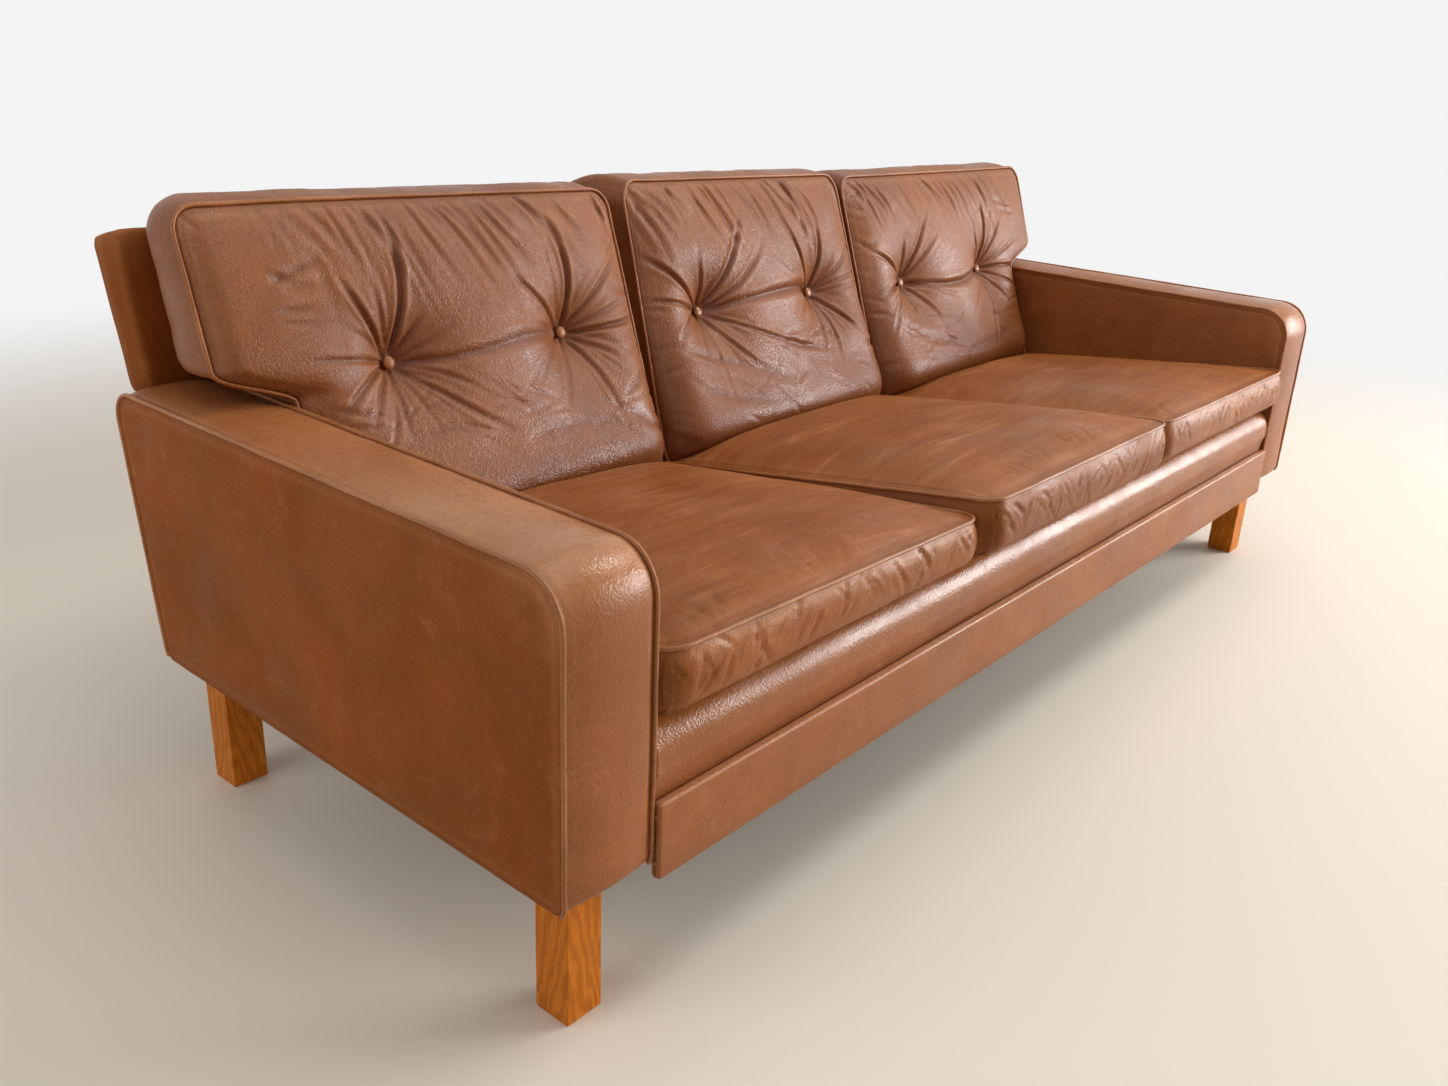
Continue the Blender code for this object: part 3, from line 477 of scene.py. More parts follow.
def makeOak(name, look):
    # grain runs up the leg and waves where it passes a knot
    material, tree, shader = newMaterial(name)
    long = place(tree, (1.0, 1.0, 0.10))
    wave = tree.nodes.new("ShaderNodeTexWave")
    wave.wave_type = "BANDS"
    wave.bands_direction = "DIAGONAL"
    wave.inputs["Scale"].default_value = look["waveSize"]
    wave.inputs["Distortion"].default_value = look["waveBend"]
    wave.inputs["Detail"].default_value = 3.0
    wave.inputs["Detail Scale"].default_value = 1.1
    nodeLink(tree, place(tree, (1.0, 1.0, 0.22)), wave.inputs["Vector"])
    pores = noise(tree, long, look["poreSize"], 2.0, 0.6)
    rings = ranged(tree, wave.outputs["Fac"], 0.15, 0.85)
    color = blendColor(tree, rings, look["light"], look["dark"])
    color = blendColor(tree, 0.45, color, look["light"])
    color = blendColor(tree, ranged(tree, pores, 0.50, 0.72, 0.0, 0.65), color, look["dark"])
    clouds = ranged(tree, noise(tree, place(tree), 22.0), 0.35, 0.75, 0.0, 0.35)
    color = blendColor(tree, clouds, color, look["dark"])
    color = blendColor(tree, painted(tree, "dirtAndShade"), color, look["soot"])
    nodeLink(tree, color, shader.inputs["Base Color"])
    rough = ranged(tree, pores, 0.3, 0.8, look["rough"] - 0.04, look["rough"] + 0.16)
    nodeLink(tree, rough, shader.inputs["Roughness"])
    shader.inputs["Specular IOR Level"].default_value = look["specular"]
    shader.inputs["Specular Tint"].default_value = (*look["reflected"], 1)
    nodeLink(tree, bump(tree, pores, 0.12, 0.0006), shader.inputs["Normal"])
    return material


def makePlain(name, color, roughness, metallic=0.0, scale=60.0, stretch=(1, 1, 1)):
    material, tree, shader = newMaterial(name)
    grain = noise(tree, place(tree, stretch), scale, 4.0)
    dark = tuple(0.62 * value for value in color)
    nodeLink(tree, blendColor(tree, ranged(tree, grain, 0.3, 0.7), dark, color), shader.inputs["Base Color"])
    shader.inputs["Roughness"].default_value = roughness
    shader.inputs["Metallic"].default_value = metallic
    nodeLink(tree, bump(tree, grain, 0.25, 0.001), shader.inputs["Normal"])
    return material


# how the leather differs on the seats, the arms' outer sides, the board and the back cushions; the darker
# copies on the outer sides and the board are painted shade
seatLook = dict(leatherLook, rough=0.47, grainHeight=0.14, specular=0.22, reflected=(1.0, 0.84, 0.70),
                streaks=0.75)
# a darker copy of the leather for the arms' outer sides: painted shade on the side away from the light
shadedSideLook = dict(leatherLook, color=(0.275, 0.072, 0.011), even=0.15, rough=0.52, specular=0.12,
                 reflected=(1.0, 0.78, 0.58))
# a darker copy of the leather for the back board: painted shade on its end, which faces away from the light
shadedBoardLook = dict(leatherLook, color=(0.255, 0.068, 0.011), rough=0.72, specular=0.06,
                 reflected=(1.0, 0.78, 0.58))
backLook = dict(leatherLook, color=(0.272, 0.085, 0.021), deep=(0.150, 0.042, 0.010),
                rubbed=(0.400, 0.180, 0.085), rough=0.40, specular=0.33, reflected=(0.97, 0.98, 1.0),
                crackle=0.34, wrinkle=0.22)

print("materials")
leather = makeLeather("wornLeather", leatherLook)
seatLeather = makeLeather("seatLeather", seatLook)
shadedSideLeather = makeLeather("shadedSideLeather", shadedSideLook)
shadedBoardLeather = makeLeather("shadedBoardLeather", shadedBoardLook)
backLeather = makeLeather("backLeather", backLook)
weltLeather = makeLeather("weltLeather", leatherLook)
buttonLeather = makeLeather("buttonLeather", leatherLook, shine=0.14)
oak = makeOak("varnishedOak", oakLook)
frameWood = makePlain("frameWood", (0.60, 0.42, 0.24), 0.70, scale=24.0, stretch=(0.2, 1, 1))
webbing = makePlain("webbing", (0.10, 0.08, 0.06), 0.85, scale=300.0)
dustCloth = makePlain("dustCloth", (0.030, 0.030, 0.032), 0.95, scale=500.0)
boltSteel = makePlain("boltSteel", (0.55, 0.55, 0.55), 0.35, metallic=1.0)


# camera: where the photograph was taken from

camera = {
    "place": (-1.73311, -0.78297, 0.97637),
    "yaw": 50.46519,
    "down": 21.34998,
    "roll": 2.59791,
    "lens": 31.1627,
}


def addCamera():
    yaw, down, roll = (math.radians(camera[key]) for key in ("yaw", "down", "roll"))
    ahead = Vector((math.sin(yaw) * math.cos(down), math.cos(yaw) * math.cos(down), -math.sin(down)))
    level = Vector((math.cos(yaw), -math.sin(yaw), 0))
    upright = level.cross(ahead)
    right = level * math.cos(roll) + upright * math.sin(roll)
    up = upright * math.cos(roll) - level * math.sin(roll)
    data = bpy.data.cameras.new("photoCamera")
    data.lens = camera["lens"]
    data.sensor_width = 36.0
    obj = bpy.data.objects.new("photoCamera", data)
    bpy.context.scene.collection.objects.link(obj)
    turn = Matrix((right, up, -ahead)).transposed()
    at = Vector(camera["place"]) + Vector((0, legFaceY, 0))
    obj.matrix_world = Matrix.Translation(at) @ turn.to_4x4()
    bpy.context.scene.camera = obj


# light: a wide window to the right in front of the sofa, and soft fill

lamps = {
    "window": {"at": (4.2, -3.3, 1.45), "to": (0.1, 0.1, 0.45), "size": (3.0, 2.4), "power": 285.0},
    "clerestory": {"at": (2.0, -1.1, 3.1), "to": (-1.0, -0.1, 0.5), "size": (1.0, 0.8), "power": 30.0},
    "ceiling": {"at": (0.2, -0.5, 3.6), "to": (0.0, 0.1, 0.2), "size": (3.6, 2.6), "power": 36.0},
    "fill": {"at": (-3.2, 0.6, 1.5), "to": (-0.8, 0.0, 0.4), "size": (1.8, 1.4), "power": 20.0},
}
worldLook = 0.30
backdrop = {"away": 7.0, "high": 9.0, "seen": 0.90, "color": (0.80, 0.80, 0.80), "rough": 1.0}
floorLook = {"color": (0.84, 0.755, 0.64), "rough": 0.60, "fadeFrom": 1.7, "fadeTo": 3.8}


def addLights():
    for name, lamp in lamps.items():
        data = bpy.data.lights.new(name, "AREA")
        data.shape = "RECTANGLE"
        data.size, data.size_y = lamp["size"]
        data.energy = lamp["power"]
        obj = bpy.data.objects.new(name, data)
        bpy.context.scene.collection.objects.link(obj)
        obj.location = lamp["at"]
        aim = Vector(lamp["to"]) - Vector(lamp["at"])
        obj.rotation_euler = aim.to_track_quat("-Z", "Y").to_euler()
    world = bpy.data.worlds.new("softRoom")
    bpy.context.scene.world = world
    world.use_nodes = True
    tree = world.node_tree
    ground = tree.nodes["Background"]
    ground.inputs["Color"].default_value = (1.0, 1.0, 1.0, 1.0)
    seen = ranged(tree, seenDirectly(tree), 0.0, 1.0, worldLook, backdrop["seen"])
    nodeLink(tree, seen, ground.inputs["Strength"])


def seenDirectly(tree):
    # 1 for what the camera sees, also in a reflection or through glass, and 0 for the lighting
    path = tree.nodes.new("ShaderNodeLightPath")
    seen = maths(tree, "MAXIMUM", path.outputs["Is Camera Ray"], path.outputs["Is Transmission Ray"])
    return maths(tree, "MAXIMUM", seen, path.outputs["Is Glossy Ray"])


def whiteWhereSeen(tree, shader, share):
    # shows plain white to the camera and in reflections, and takes no part in the lighting
    seen = seenDirectly(tree)
    glow = tree.nodes.new("ShaderNodeEmission")
    glow.inputs["Color"].default_value = (1.0, 1.0, 1.0, 1.0)
    glow.inputs["Strength"].default_value = backdrop["seen"]
    blend = tree.nodes.new("ShaderNodeMixShader")
    nodeLink(tree, maths(tree, "MULTIPLY", seen, share), blend.inputs[0])
    nodeLink(tree, shader.outputs[0], blend.inputs[1])
    nodeLink(tree, glow.outputs[0], blend.inputs[2])
    nodeLink(tree, blend.outputs[0], tree.nodes["Material Output"].inputs["Surface"])


def addStage(name, points, faces, materialName, look):
    mesh = bpy.data.meshes.new(name)
    mesh.from_pydata(points, [], faces)
    obj = bpy.data.objects.new(name, mesh)
    bpy.context.scene.collection.objects.link(obj)
    material, tree, shader = newMaterial(materialName)
    shader.inputs["Base Color"].default_value = (*look["color"], 1)
    shader.inputs["Roughness"].default_value = look["rough"]
    mesh.materials.append(material)
    return tree, shader


def addFloor():
    away, high = backdrop["away"], backdrop["high"]
    corners = [(-away, -away, 0), (away, -away, 0), (away, away, 0), (-away, away, 0)]
    tree, shader = addStage("studioFloor", corners, [(0, 1, 2, 3)], "paleFloor", floorLook)
    # it fades into the white of the backdrop far from the sofa
    spot = tree.nodes.new("ShaderNodeVectorMath")
    spot.operation = "LENGTH"
    nodeLink(tree, place(tree), spot.inputs[0])
    faded = ranged(tree, spot.outputs["Value"], floorLook["fadeFrom"], floorLook["fadeTo"])
    whiteWhereSeen(tree, shader, faded)

    # two walls stand where the camera looks past the sofa
    points = [(-away, away, 0), (away, away, 0), (away, away, high), (-away, away, high),
              (away, -away, 0), (away, -away, high)]
    walls = [(0, 1, 2, 3), (1, 4, 5, 2)]
    tree, shader = addStage("studioBackdrop", points, walls, "whiteBackdrop", backdrop)
    whiteWhereSeen(tree, shader, 1.0)


print("camera, light and floor")
bpy.context.scene.view_settings.view_transform = "Standard"
addCamera()
addLights()
addFloor()


# arms

arm = {
    "outerX": 1.0465,
    "thickness": 0.1235,
    "frontY": -0.033,
    "backTopY": 0.796,
    "backBottomY": 0.740,
    "topZ": (0.536, 0.545),
    "bottomZ": (0.178, 0.190),
    "topFrontRadius": 0.052,
    "topBackRadius": 0.040,
    "bottomRadius": 0.014,
    "crown": 0.0085,
    "panelPuff": 0.0022,
    "cuts": (20, 150, 70),
    "seamCuts": (0.003, 0.006, 0.010, 0.014),
    "grooveWidth": 0.0012,
    "grooveDepth": 0.0008,
    "gathers": 0.0013,
    "slack": 0.0005,
    "edgeWear": 0.20,
    "turnWear": 0.75,
    "topWear": 0.26,
    "polishedWear": 0.80,
    "rightArmShare": 0.3,
    "seamDirt": 0.60,
    "stitchDirt": 0.35,
    "stains": 0.45,
    "footDarkening": 0.30,
}
armHalfDepth = (arm["backTopY"] - arm["frontY"]) / 2
armHalfHeight = (arm["topZ"][1] - arm["bottomZ"][1]) / 2


def armOutline(u, v):
    # Y and Z on the arm's side, u from front to back and v from bottom to top
    a, b = u * armHalfDepth, v * armHalfHeight
    shapes = [roundCorner(a, b, armHalfDepth, armHalfHeight, arm[key])
              for key in ("bottomRadius", "topFrontRadius", "topBackRadius")]
    pick = np.where(v < 0, 0, np.where(u < 0, 1, 2))
    a = np.choose(pick, [shape[0] for shape in shapes])
    b = np.choose(pick, [shape[1] for shape in shapes])
    across = (a / armHalfDepth + 1) / 2
    up = (b / armHalfHeight + 1) / 2
    y = mix(arm["frontY"], mix(arm["backBottomY"], arm["backTopY"], up), across)
    share = (y - arm["frontY"]) / (arm["backTopY"] - arm["frontY"])
    return y, mix(mix(*arm["bottomZ"], share), mix(*arm["topZ"], share), up)


def buildArm(side, sign):
    middle = sign * (arm["outerX"] - arm["thickness"] / 2)
    half = arm["thickness"] / 2
    halves = (half, armHalfDepth, armHalfHeight)
    grid = [steps(count, size, arm["seamCuts"]) for count, size in zip(arm["cuts"], halves)]
    u, v, w, faces = blockGrid(*grid)
    y, z = armOutline(v, w)
    x = middle + u * half
    # the boxing swells between its two seams
    eps = 0.004
    y0, z0 = armOutline(np.clip(v - eps, -1, 1), w)
    y1, z1 = armOutline(np.clip(v + eps, -1, 1), w)
    y2, z2 = armOutline(v, np.clip(w - eps, -1, 1))
    y3, z3 = armOutline(v, np.clip(w + eps, -1, 1))
    onEnd = np.abs(v) == 1
    runY = np.where(onEnd & (w < 1), (y3 - y2) * -v, y1 - y0)
    runZ = np.where(onEnd & (w < 1), (z3 - z2) * -v, z1 - z0)
    length = np.maximum(np.hypot(runY, runZ), 1e-9)
    crown = arm["crown"] * (1 - np.abs(u) ** 2.4) * ((w == 1) | onEnd)
    crown *= fade(-1.0, -0.90, w)
    flat = np.stack([x * 0, y, z], -1)
    crown *= 1 + 0.10 * lumps(flat, 0.11, 3)
    y = y - runZ / length * crown
    z = z + runY / length * crown
    # the side panels are softly padded
    rimU = np.minimum(1 - np.abs(v), 1) * armHalfDepth
    rimV = np.minimum(1 - np.abs(w), 1) * armHalfHeight
    inside = fade(0, 0.030, np.minimum(rimU, rimV))
    panel = np.abs(u) == 1
    puff = arm["panelPuff"] * inside * (1 + 0.6 * lumps(flat, 0.16, 7)) - 0.0012 * inside
    x = np.where(panel, x + u * puff, x)
    points = np.stack([x, y, z], -1)
    obj = addMesh(f"armCover_{side}", points, faces, leather)
    # the outer side panels take the darker copy of the leather, as painted shade
    obj.data.materials.append(shadedSideLeather)
    outer = panel & (np.abs(x) > np.abs(x).mean())
    flatSide = np.array([outer[list(face)].all() for face in faces])
    obj.data.polygons.foreach_set("material_index", flatSide.astype(np.int32))

    # small gathers where the boxing turns over the front, and slack ripples
    turn = np.exp(-((points[:, 1] - 0.00) / 0.055) ** 2 - ((points[:, 2] - 0.520) / 0.060) ** 2)
    toSeam = np.where(panel, np.minimum(rimU, rimV), half * (1 - np.abs(u)))
    small = lumps(points, (0.011, 0.05, 0.05), 5) * turn * arm["gathers"] * np.exp(-toSeam / 0.025)
    ripple = lumps(points, (0.05, 0.035, 0.035), 9) * arm["slack"] * (~panel)
    stitched = seamGroove(toSeam, sofa["stitchAt"], arm["grooveWidth"], arm["grooveDepth"])
    stitched *= fade(0.0, 0.003, toSeam)
    pushOut(obj, small + ripple + stitched + arm["slack"] * lumps(points, 0.035, 12) * panel)
    wearAndHighlight = band(toSeam, 0.009, 0.005) * arm["edgeWear"]
    wearAndHighlight += arm["turnWear"] * turn * (0.5 + 0.5 * lumps(points, 0.03, 4)) * np.exp(-toSeam / 0.03)
    onTop = fade(0.50, 0.53, z) * (~panel)
    polished = onTop * fade(0.55, -0.02, points[:, 1])
    spots = np.clip(0.75 + 0.6 * lumps(points, (0.05, 0.12, 0.05), 15), 0, 1)
    # the left arm is rubbed more than the right one
    rubbed = arm["topWear"] * onTop + arm["polishedWear"] * polished * spots
    wearAndHighlight += rubbed * (1.0 if sign < 0 else arm["rightArmShare"])
    paint(obj, "wearAndHighlight", np.clip(wearAndHighlight, 0, 0.95))
    dirtAndShade = band(toSeam, 0, 0.0028) * arm["seamDirt"]
    dirtAndShade += arm["stitchDirt"] * band(toSeam, sofa["stitchAt"], 0.0014)
    stain = np.clip(lumps(points, (0.10, 0.13, 0.09), 33), 0, 1) ** 2 * panel * arm["stains"]
    paint(obj, "dirtAndShade", np.clip(dirtAndShade + stain + arm["footDarkening"] * fade(0.24, 0.17, z), 0, 0.95))
    paint(obj, "shine", np.clip(turn * 1.1 + 0.6 * polished, 0, 1.3))
    dress(obj, "leather", f"arm_{side}", fill=0.9)


def armSeam():
    # front edge from the bottom, over the top, to the bottom of the back edge
    path = [(-1.0, v) for v in np.linspace(-0.995, 1, 70)]
    path += [(u, 1.0) for u in np.linspace(-1, 1, 150)[1:-1]]
    path += [(1.0, v) for v in np.linspace(1, -0.995, 70)]
    uv = np.array(path)
    y, z = armOutline(uv[:, 0], uv[:, 1])
    return np.stack([y, z], -1)


cord = {"unevenXYZ": 0.0004, "unevenWidth": 0.10, "rubbed": 0.40, "rubbedBack": 0.12, "spacing": 0.006}


def addCord(name, places, node, closed, rubbed):
    # a sewn cord: slightly uneven, as it is on a worn edge
    places = np.asarray(places, float)
    places = places + np.stack([lumps(places, 0.035, seed) * cord["unevenXYZ"] for seed in (21, 22, 23)], -1)
    curve = bpy.data.curves.new(name, "CURVE")
    curve.dimensions = "3D"
    curve.bevel_depth = sofa["cordRadius"]
    curve.bevel_resolution = 2
    curve.use_fill_caps = not closed
    spline = curve.splines.new("POLY")
    spline.points.add(len(places) - 1)
    flat = np.concatenate([places + (0, legFaceY, 0), np.ones((len(places), 1))], 1)
    spline.points.foreach_set("co", flat.ravel())
    spline.points.foreach_set("radius", 1 + cord["unevenWidth"] * lumps(places, 0.02, 31))
    spline.use_cyclic_u = closed
    helper = bpy.data.objects.new(name + "Curve", curve)
    bpy.context.scene.collection.objects.link(helper)
    bpy.context.view_layer.update()
    mesh = bpy.data.meshes.new_from_object(helper.evaluated_get(bpy.context.evaluated_depsgraph_get()))
    bpy.data.objects.remove(helper)
    mesh.name = name
    mesh.shade_smooth()
    mesh.materials.clear()
    mesh.materials.append(weltLeather)
    obj = bpy.data.objects.new(name, mesh)
    bpy.context.scene.collection.objects.link(obj)
    points = readPoints(obj)
    paint(obj, "wearAndHighlight", np.clip(rubbed + 0.35 * lumps(points, 0.05, 41), 0, 0.8))
    paint(obj, "dirtAndShade", np.clip(0.25 - 0.5 * lumps(points, 0.04, 42), 0, 0.6) * (0.5 - rubbed) * 2)
    paint(obj, "shine", points[:, 0] * 0 + 0.4)
    dress(obj, "welt_leather", node)


def outwardNormals(line):
    # unit normals in the plane of a line, pointing to its left
    run = np.gradient(line, axis=0)
    run /= np.maximum(np.linalg.norm(run, axis=1), 1e-9)[:, None]
    return np.stack([-run[:, 1], run[:, 0]], -1)


def buildArmCords(side, sign):
    seam = armSeam()
    out = outwardNormals(seam)
    middle = sign * (arm["outerX"] - arm["thickness"] / 2)
    for face, end in (("outer", 1), ("inner", -1)):
        x = middle + sign * end * (arm["thickness"] / 2 - 0.0004)
        line = seam + out * (sofa["weltOff"] - 0.0012)
        places = np.column_stack([np.full(len(line), x), line])
        addCord(f"armCord_{face}_{side}", places, f"arm_welt_{face}_{side}", False, cord["rubbed"])


print("arms")
for side, sign in (("left", -1), ("right", 1)):
    buildArm(side, sign)
    buildArmCords(side, sign)


# seat cushions

seat = {
    "corner": 0.034,
    "crown": (0.044, 0.038, 0.028),
    "crownPower": (4.0, 4.0, 3.4),
    "backSink": 0.012,
    "lowerEdge": 0.018,
    "stand": (-0.012, 0.006, 0.0),
    "frontBulge": 0.010,
    "middleForward": 0.010,
    "endLift": 0.012,
    "endDrop": 0.004,
    "backFootY": 0.530,
    "crownFall": (0.455, 0.545),
    "jointShift": 0.012,
    "cuts": (124, 140, 32),
    "halfDepth": 0.37,
    "pucker": 0.0010,
    "edgeWear": 0.34,
    "lowWear": 0.30,
    "rubs": 0.30,
    "stain": 0.72,
    "foldShade": 0.50,
    "frontShade": (0.0, 0.75, 0.35),
    "frontShine": (0.95, 0.30, 0.60),
}
# creases that slant across the front boxing: how many, their slants and how likely each is
seatFolds = {"count": 64, "slants": (-134, -122, -104, -58, -44), "odds": (0.28, 0.20, 0.14, 0.18, 0.20),
             "length": (0.03, 0.085), "bend": 0.006, "points": 6, "depth": (0.0008, 0.0028),
             "width": (0.0018, 0.0036), "fades": (0.25, 0.4)}
# fine wrinkles of the top: those that run in from the front seam, and those along the seat
seatWrinkles = {"count": 34, "length": (0.03, 0.10), "bend": 0.008, "points": 7, "depth": (0.0005, 0.0012),
                "width": (0.003, 0.005), "fades": (0.15, 0.3)}
seatLines = {"count": 12, "length": (0.08, 0.22), "bend": 0.012, "points": 9, "depth": (0.0005, 0.0012),
             "width": (0.003, 0.005), "fades": (0.3, 0.4)}


def seatTilt(x):
    third = sofa["armInnerX"] / 3
    lift = seat["endLift"] * np.clip((-x - third) / (2 * third), 0, 1)
    return lift - seat["endDrop"] * np.clip((x - third) / (2 * third), 0, 1)


def seatSeam(u, v, index):
    middle = cushionMiddle(index)
    front = sofa["seatFrontY"] - (seat["middleForward"] if index == 1 else 0)
    back = boardFace(seatTop(0.669) - sofa["seatThickness"]) - sofa["seamSetback"]
    halfX = seatPitch / 2 - sofa["seamSetback"]
    halfY = (back - front) / 2
    a, b = roundCorner(u * halfX, v * halfY, halfX, halfY, seat["corner"])
    x, y = middle + a, (back + front) / 2 + b
    far = np.clip((seat["backFootY"] - y) / seat["backFootY"], 0, 1)
    # the first cushion has crept towards the second at the front
    if index < 2:
        creep = np.clip(u if index == 0 else -u, 0, 1) ** 2
        x = x + seat["jointShift"] * creep * far
    sink = seat["backSink"] * np.clip(y / seat["backFootY"], 0, 1)
    return x, y, seatTop(y) + (seatTilt(x) + seat["stand"][index]) * far - sink


def frontFolds(points, frontFace, index):
    rng = np.random.default_rng(40 + index)
    a, b = points[:, 0], points[:, 2]
    left = cushionMiddle(index) - seatPitch / 2
    folds = np.zeros(len(a))
    for _ in range(seatFolds["count"]):
        start = (left + rng.uniform(0.01, 0.61), sofa["seatFrontZ"] + rng.uniform(-0.030, 0.008))
        slant = rng.choice(seatFolds["slants"], p=seatFolds["odds"]) + rng.uniform(-8, 8)
        folds += drawnCrease(rng, a, b, start, slant, seatFolds)
    return folds * frontFace


def topWrinkles(points, edge, index):
    rng = np.random.default_rng(140 + index)
    a, b = points[:, 0], points[:, 1]
    left = cushionMiddle(index) - seatPitch / 2
    lines = np.zeros(len(a))
    for _ in range(seatWrinkles["count"]):
        start = (left + rng.uniform(0.02, 0.60), sofa["seatFrontY"] + rng.uniform(0.002, 0.02))
        turn = rng.choice([55, 75, 105, 130]) + rng.uniform(-12, 12)
        lines += drawnCrease(rng, a, b, start, turn, seatWrinkles)
    for _ in range(seatLines["count"]):
        start = (left + rng.uniform(0.06, 0.40), rng.uniform(0.03, 0.42))
        lines += drawnCrease(rng, a, b, start, rng.uniform(-14, 16), seatLines)
    return lines * fade(0, 0.006, edge)


def buildSeat(index):
    halfX, halfY = seatPitch / 2, seat["halfDepth"]
    across, deep, high = seat["cuts"]
    u, v, w, faces = blockGrid(steps(across, halfX), steps(deep, halfY), steps(high), "bottom")
    x, y, z = seatSeam(u, v, index)
    top, bottom = w == 1, w == -1
    onX, onY = np.abs(u) == 1, np.abs(v) == 1
    edge = np.minimum((1 - np.abs(u)) * halfX, (v + 1) * halfY)

    # the filling domes the top, and the back cushion presses it down behind
    crown = (1 - np.abs(u) ** seat["crownPower"][index]) * np.where(v < 0, 1 - np.abs(v) ** 6, 1.0)
    crown *= fade(*seat["crownFall"][::-1], y)
    flat = np.stack([x, y, x * 0], -1)
    rise = seat["crown"][index] * crown * (1 + 0.12 * lumps(flat, 0.20, index + 1))
    inFromFront = (v + 1) * halfY
    pucker = lumps(np.stack([x + 0.2 * y, y * 0.12, x * 0], -1), 0.017, 5 + index)
    rise += seat["pucker"] * pucker * np.exp(-inFromFront / 0.026) * fade(0, 0.008, inFromFront)
    rise += seamGroove(edge) + topWrinkles(flat, edge, index)

    # the boxing swells a little, most at the front, and rolls under along its lower edge
    low = seatTop(y) - sofa["seatThickness"]
    side = 1 - np.abs(w) ** 2.2
    roll = seat["lowerEdge"] * np.where(bottom, 1.0, np.clip((-w - 0.45) / 0.55, 0, 1) ** 2)
    bulge = sofa["seamSetback"] - 0.001
    outX = u * (bulge * side * onX - roll * (onX | bottom))
    outY = v * (np.where(v < 0, seat["frontBulge"], bulge) * side * onY - roll * (onY | bottom))
    zz = np.where(top, z + rise, mix(low, z, (w + 1) / 2))
    points = np.stack([x + outX, y + outY, zz], -1)
    folds = frontFolds(points, (v == -1) & ~top & ~bottom, index) * fade(-1.0, -0.8, w) * fade(1.0, 0.75, w)
    points[:, 1] -= folds
    obj = addMesh(f"seatCover_{index + 1}", points, faces, seatLeather)
    uneven = lumps(points, (0.06, 0.06, 0.03), 17 + index)
    pushOut(obj, 0.0008 * uneven * np.where(top, fade(0, 0.02, edge), fade(0, 0.3, 1 - np.abs(w))))

    # pale rubbed edges, dark seams, a stain where people sit, and painted shade in the front creases, along
    # the boxing's rolled lower edge and on the fronts of the second and third seat
    down = (1 - w) * sofa["seatThickness"] / 2
    rubbedEdge = band(edge, 0.017, 0.006) * seat["edgeWear"] * (0.6 + 0.4 * lumps(points, 0.02, 3))
    wearAndHighlight = np.where(top, rubbedEdge, band(down, 0.010, 0.006) * seat["lowWear"])
    rubs = lumps(points, (0.10, 0.08, 0.05), 8 + index) + 0.6 * lumps(points, (0.05, 0.012, 0.05), 71 + index)
    wearAndHighlight += seat["rubs"] * np.clip(rubs, 0, 1) * top
    sat = np.exp(-((x - cushionMiddle(index) + 0.03) / 0.22) ** 2 - ((y - 0.26) / 0.17) ** 2)
    smear = np.clip(lumps(points, (0.13, 0.06, 0.05), 13 + index) * 0.7 + 0.42, 0, 1)
    smear = np.clip(smear + 0.35 * lumps(points, (0.035, 0.014, 0.05), 63 + index), 0, 1)
    dirtAndShade = (sat * smear * seat["stain"] + 0.22 * np.clip(smear - 0.5, 0, 1)) * top
    # painted shade in the valleys of the front creases
    dirtAndShade += np.clip(-folds / 0.0025, 0, 1) * seat["foldShade"]
    onTopSeam = band(edge, 0, 0.0030) * 0.80 + band(edge, 0.010, 0.0014) * 0.45
    # on the boxing: dark along the top seam, and painted shade along the lower edge, where it rolls under
    boxingSeamAndShade = band(down, 0, 0.0035) * 0.80 + 0.75 * np.exp(-(w + 1) * 0.041 / 0.014)
    dirtAndShade += np.where(top, onTopSeam, boxingSeamAndShade)
    # painted shade on the front boxing of the second and third seat, in patches
    frontShadeSpots = np.clip(0.7 + 0.5 * lumps(points, (0.05, 0.05, 0.02), 90), 0, 1)
    dirtAndShade += (~top) * seat["frontShade"][index] * frontShadeSpots
    paint(obj, "wearAndHighlight", np.clip(wearAndHighlight, 0, 0.8))
    paint(obj, "dirtAndShade", np.clip(dirtAndShade, 0, 0.9))
    paint(obj, "shine", np.where(top, 0.6 * np.exp(-edge / 0.03), seat["frontShine"][index]))
    dress(obj, "leather", f"seat_cushion_{index + 1}", fill=0.75)


def rimLine(straightU, straightV):
    # around a block's rim, from the lower left corner by the right
    us = np.linspace(-1, 1, straightU)
    vs = np.linspace(-1, 1, straightV)
    low = [(a, -1.0) for a in us[:-1]]
    right = [(1.0, b) for b in vs[:-1]]
    high = [(a, 1.0) for a in us[::-1][:-1]]
    left = [(-1.0, b) for b in vs[::-1][:-1]]
    return np.array(low + right + high + left)


def spaced(line, step):
    # the same closed line with evenly spaced points
    closed = np.vstack([line, line[:1]])
    run = np.concatenate([[0], np.cumsum(np.linalg.norm(np.diff(closed, axis=0), axis=1))])
    at = np.arange(0, run[-1], step)
    return np.stack([np.interp(at, run, closed[:, axis]) for axis in range(3)], -1)


def ringOffset(line, facing, distance, lift=0.0):
    run = np.roll(line, -1, axis=0) - np.roll(line, 1, axis=0)
    out = np.cross(run, facing)
    out /= np.maximum(np.linalg.norm(out, axis=1), 1e-9)[:, None]
    out = (out + np.asarray(facing) * lift) / math.hypot(1, lift)
    return line + out * distance


def buildSeatCord(index):
    uv = rimLine(120, 120)
    x, y, z = seatSeam(uv[:, 0], uv[:, 1], index)
    line = spaced(np.stack([x, y, z], -1), cord["spacing"])
    line = ringOffset(line, (0, 0, 1), sofa["weltOff"] - 0.0010)
    addCord(f"seatCord_{index + 1}", line, f"seat_welt_{index + 1}", True, cord["rubbed"])


print("seat cushions")
for index in range(3):
    buildSeat(index)
    buildSeatCord(index)


# back cushions

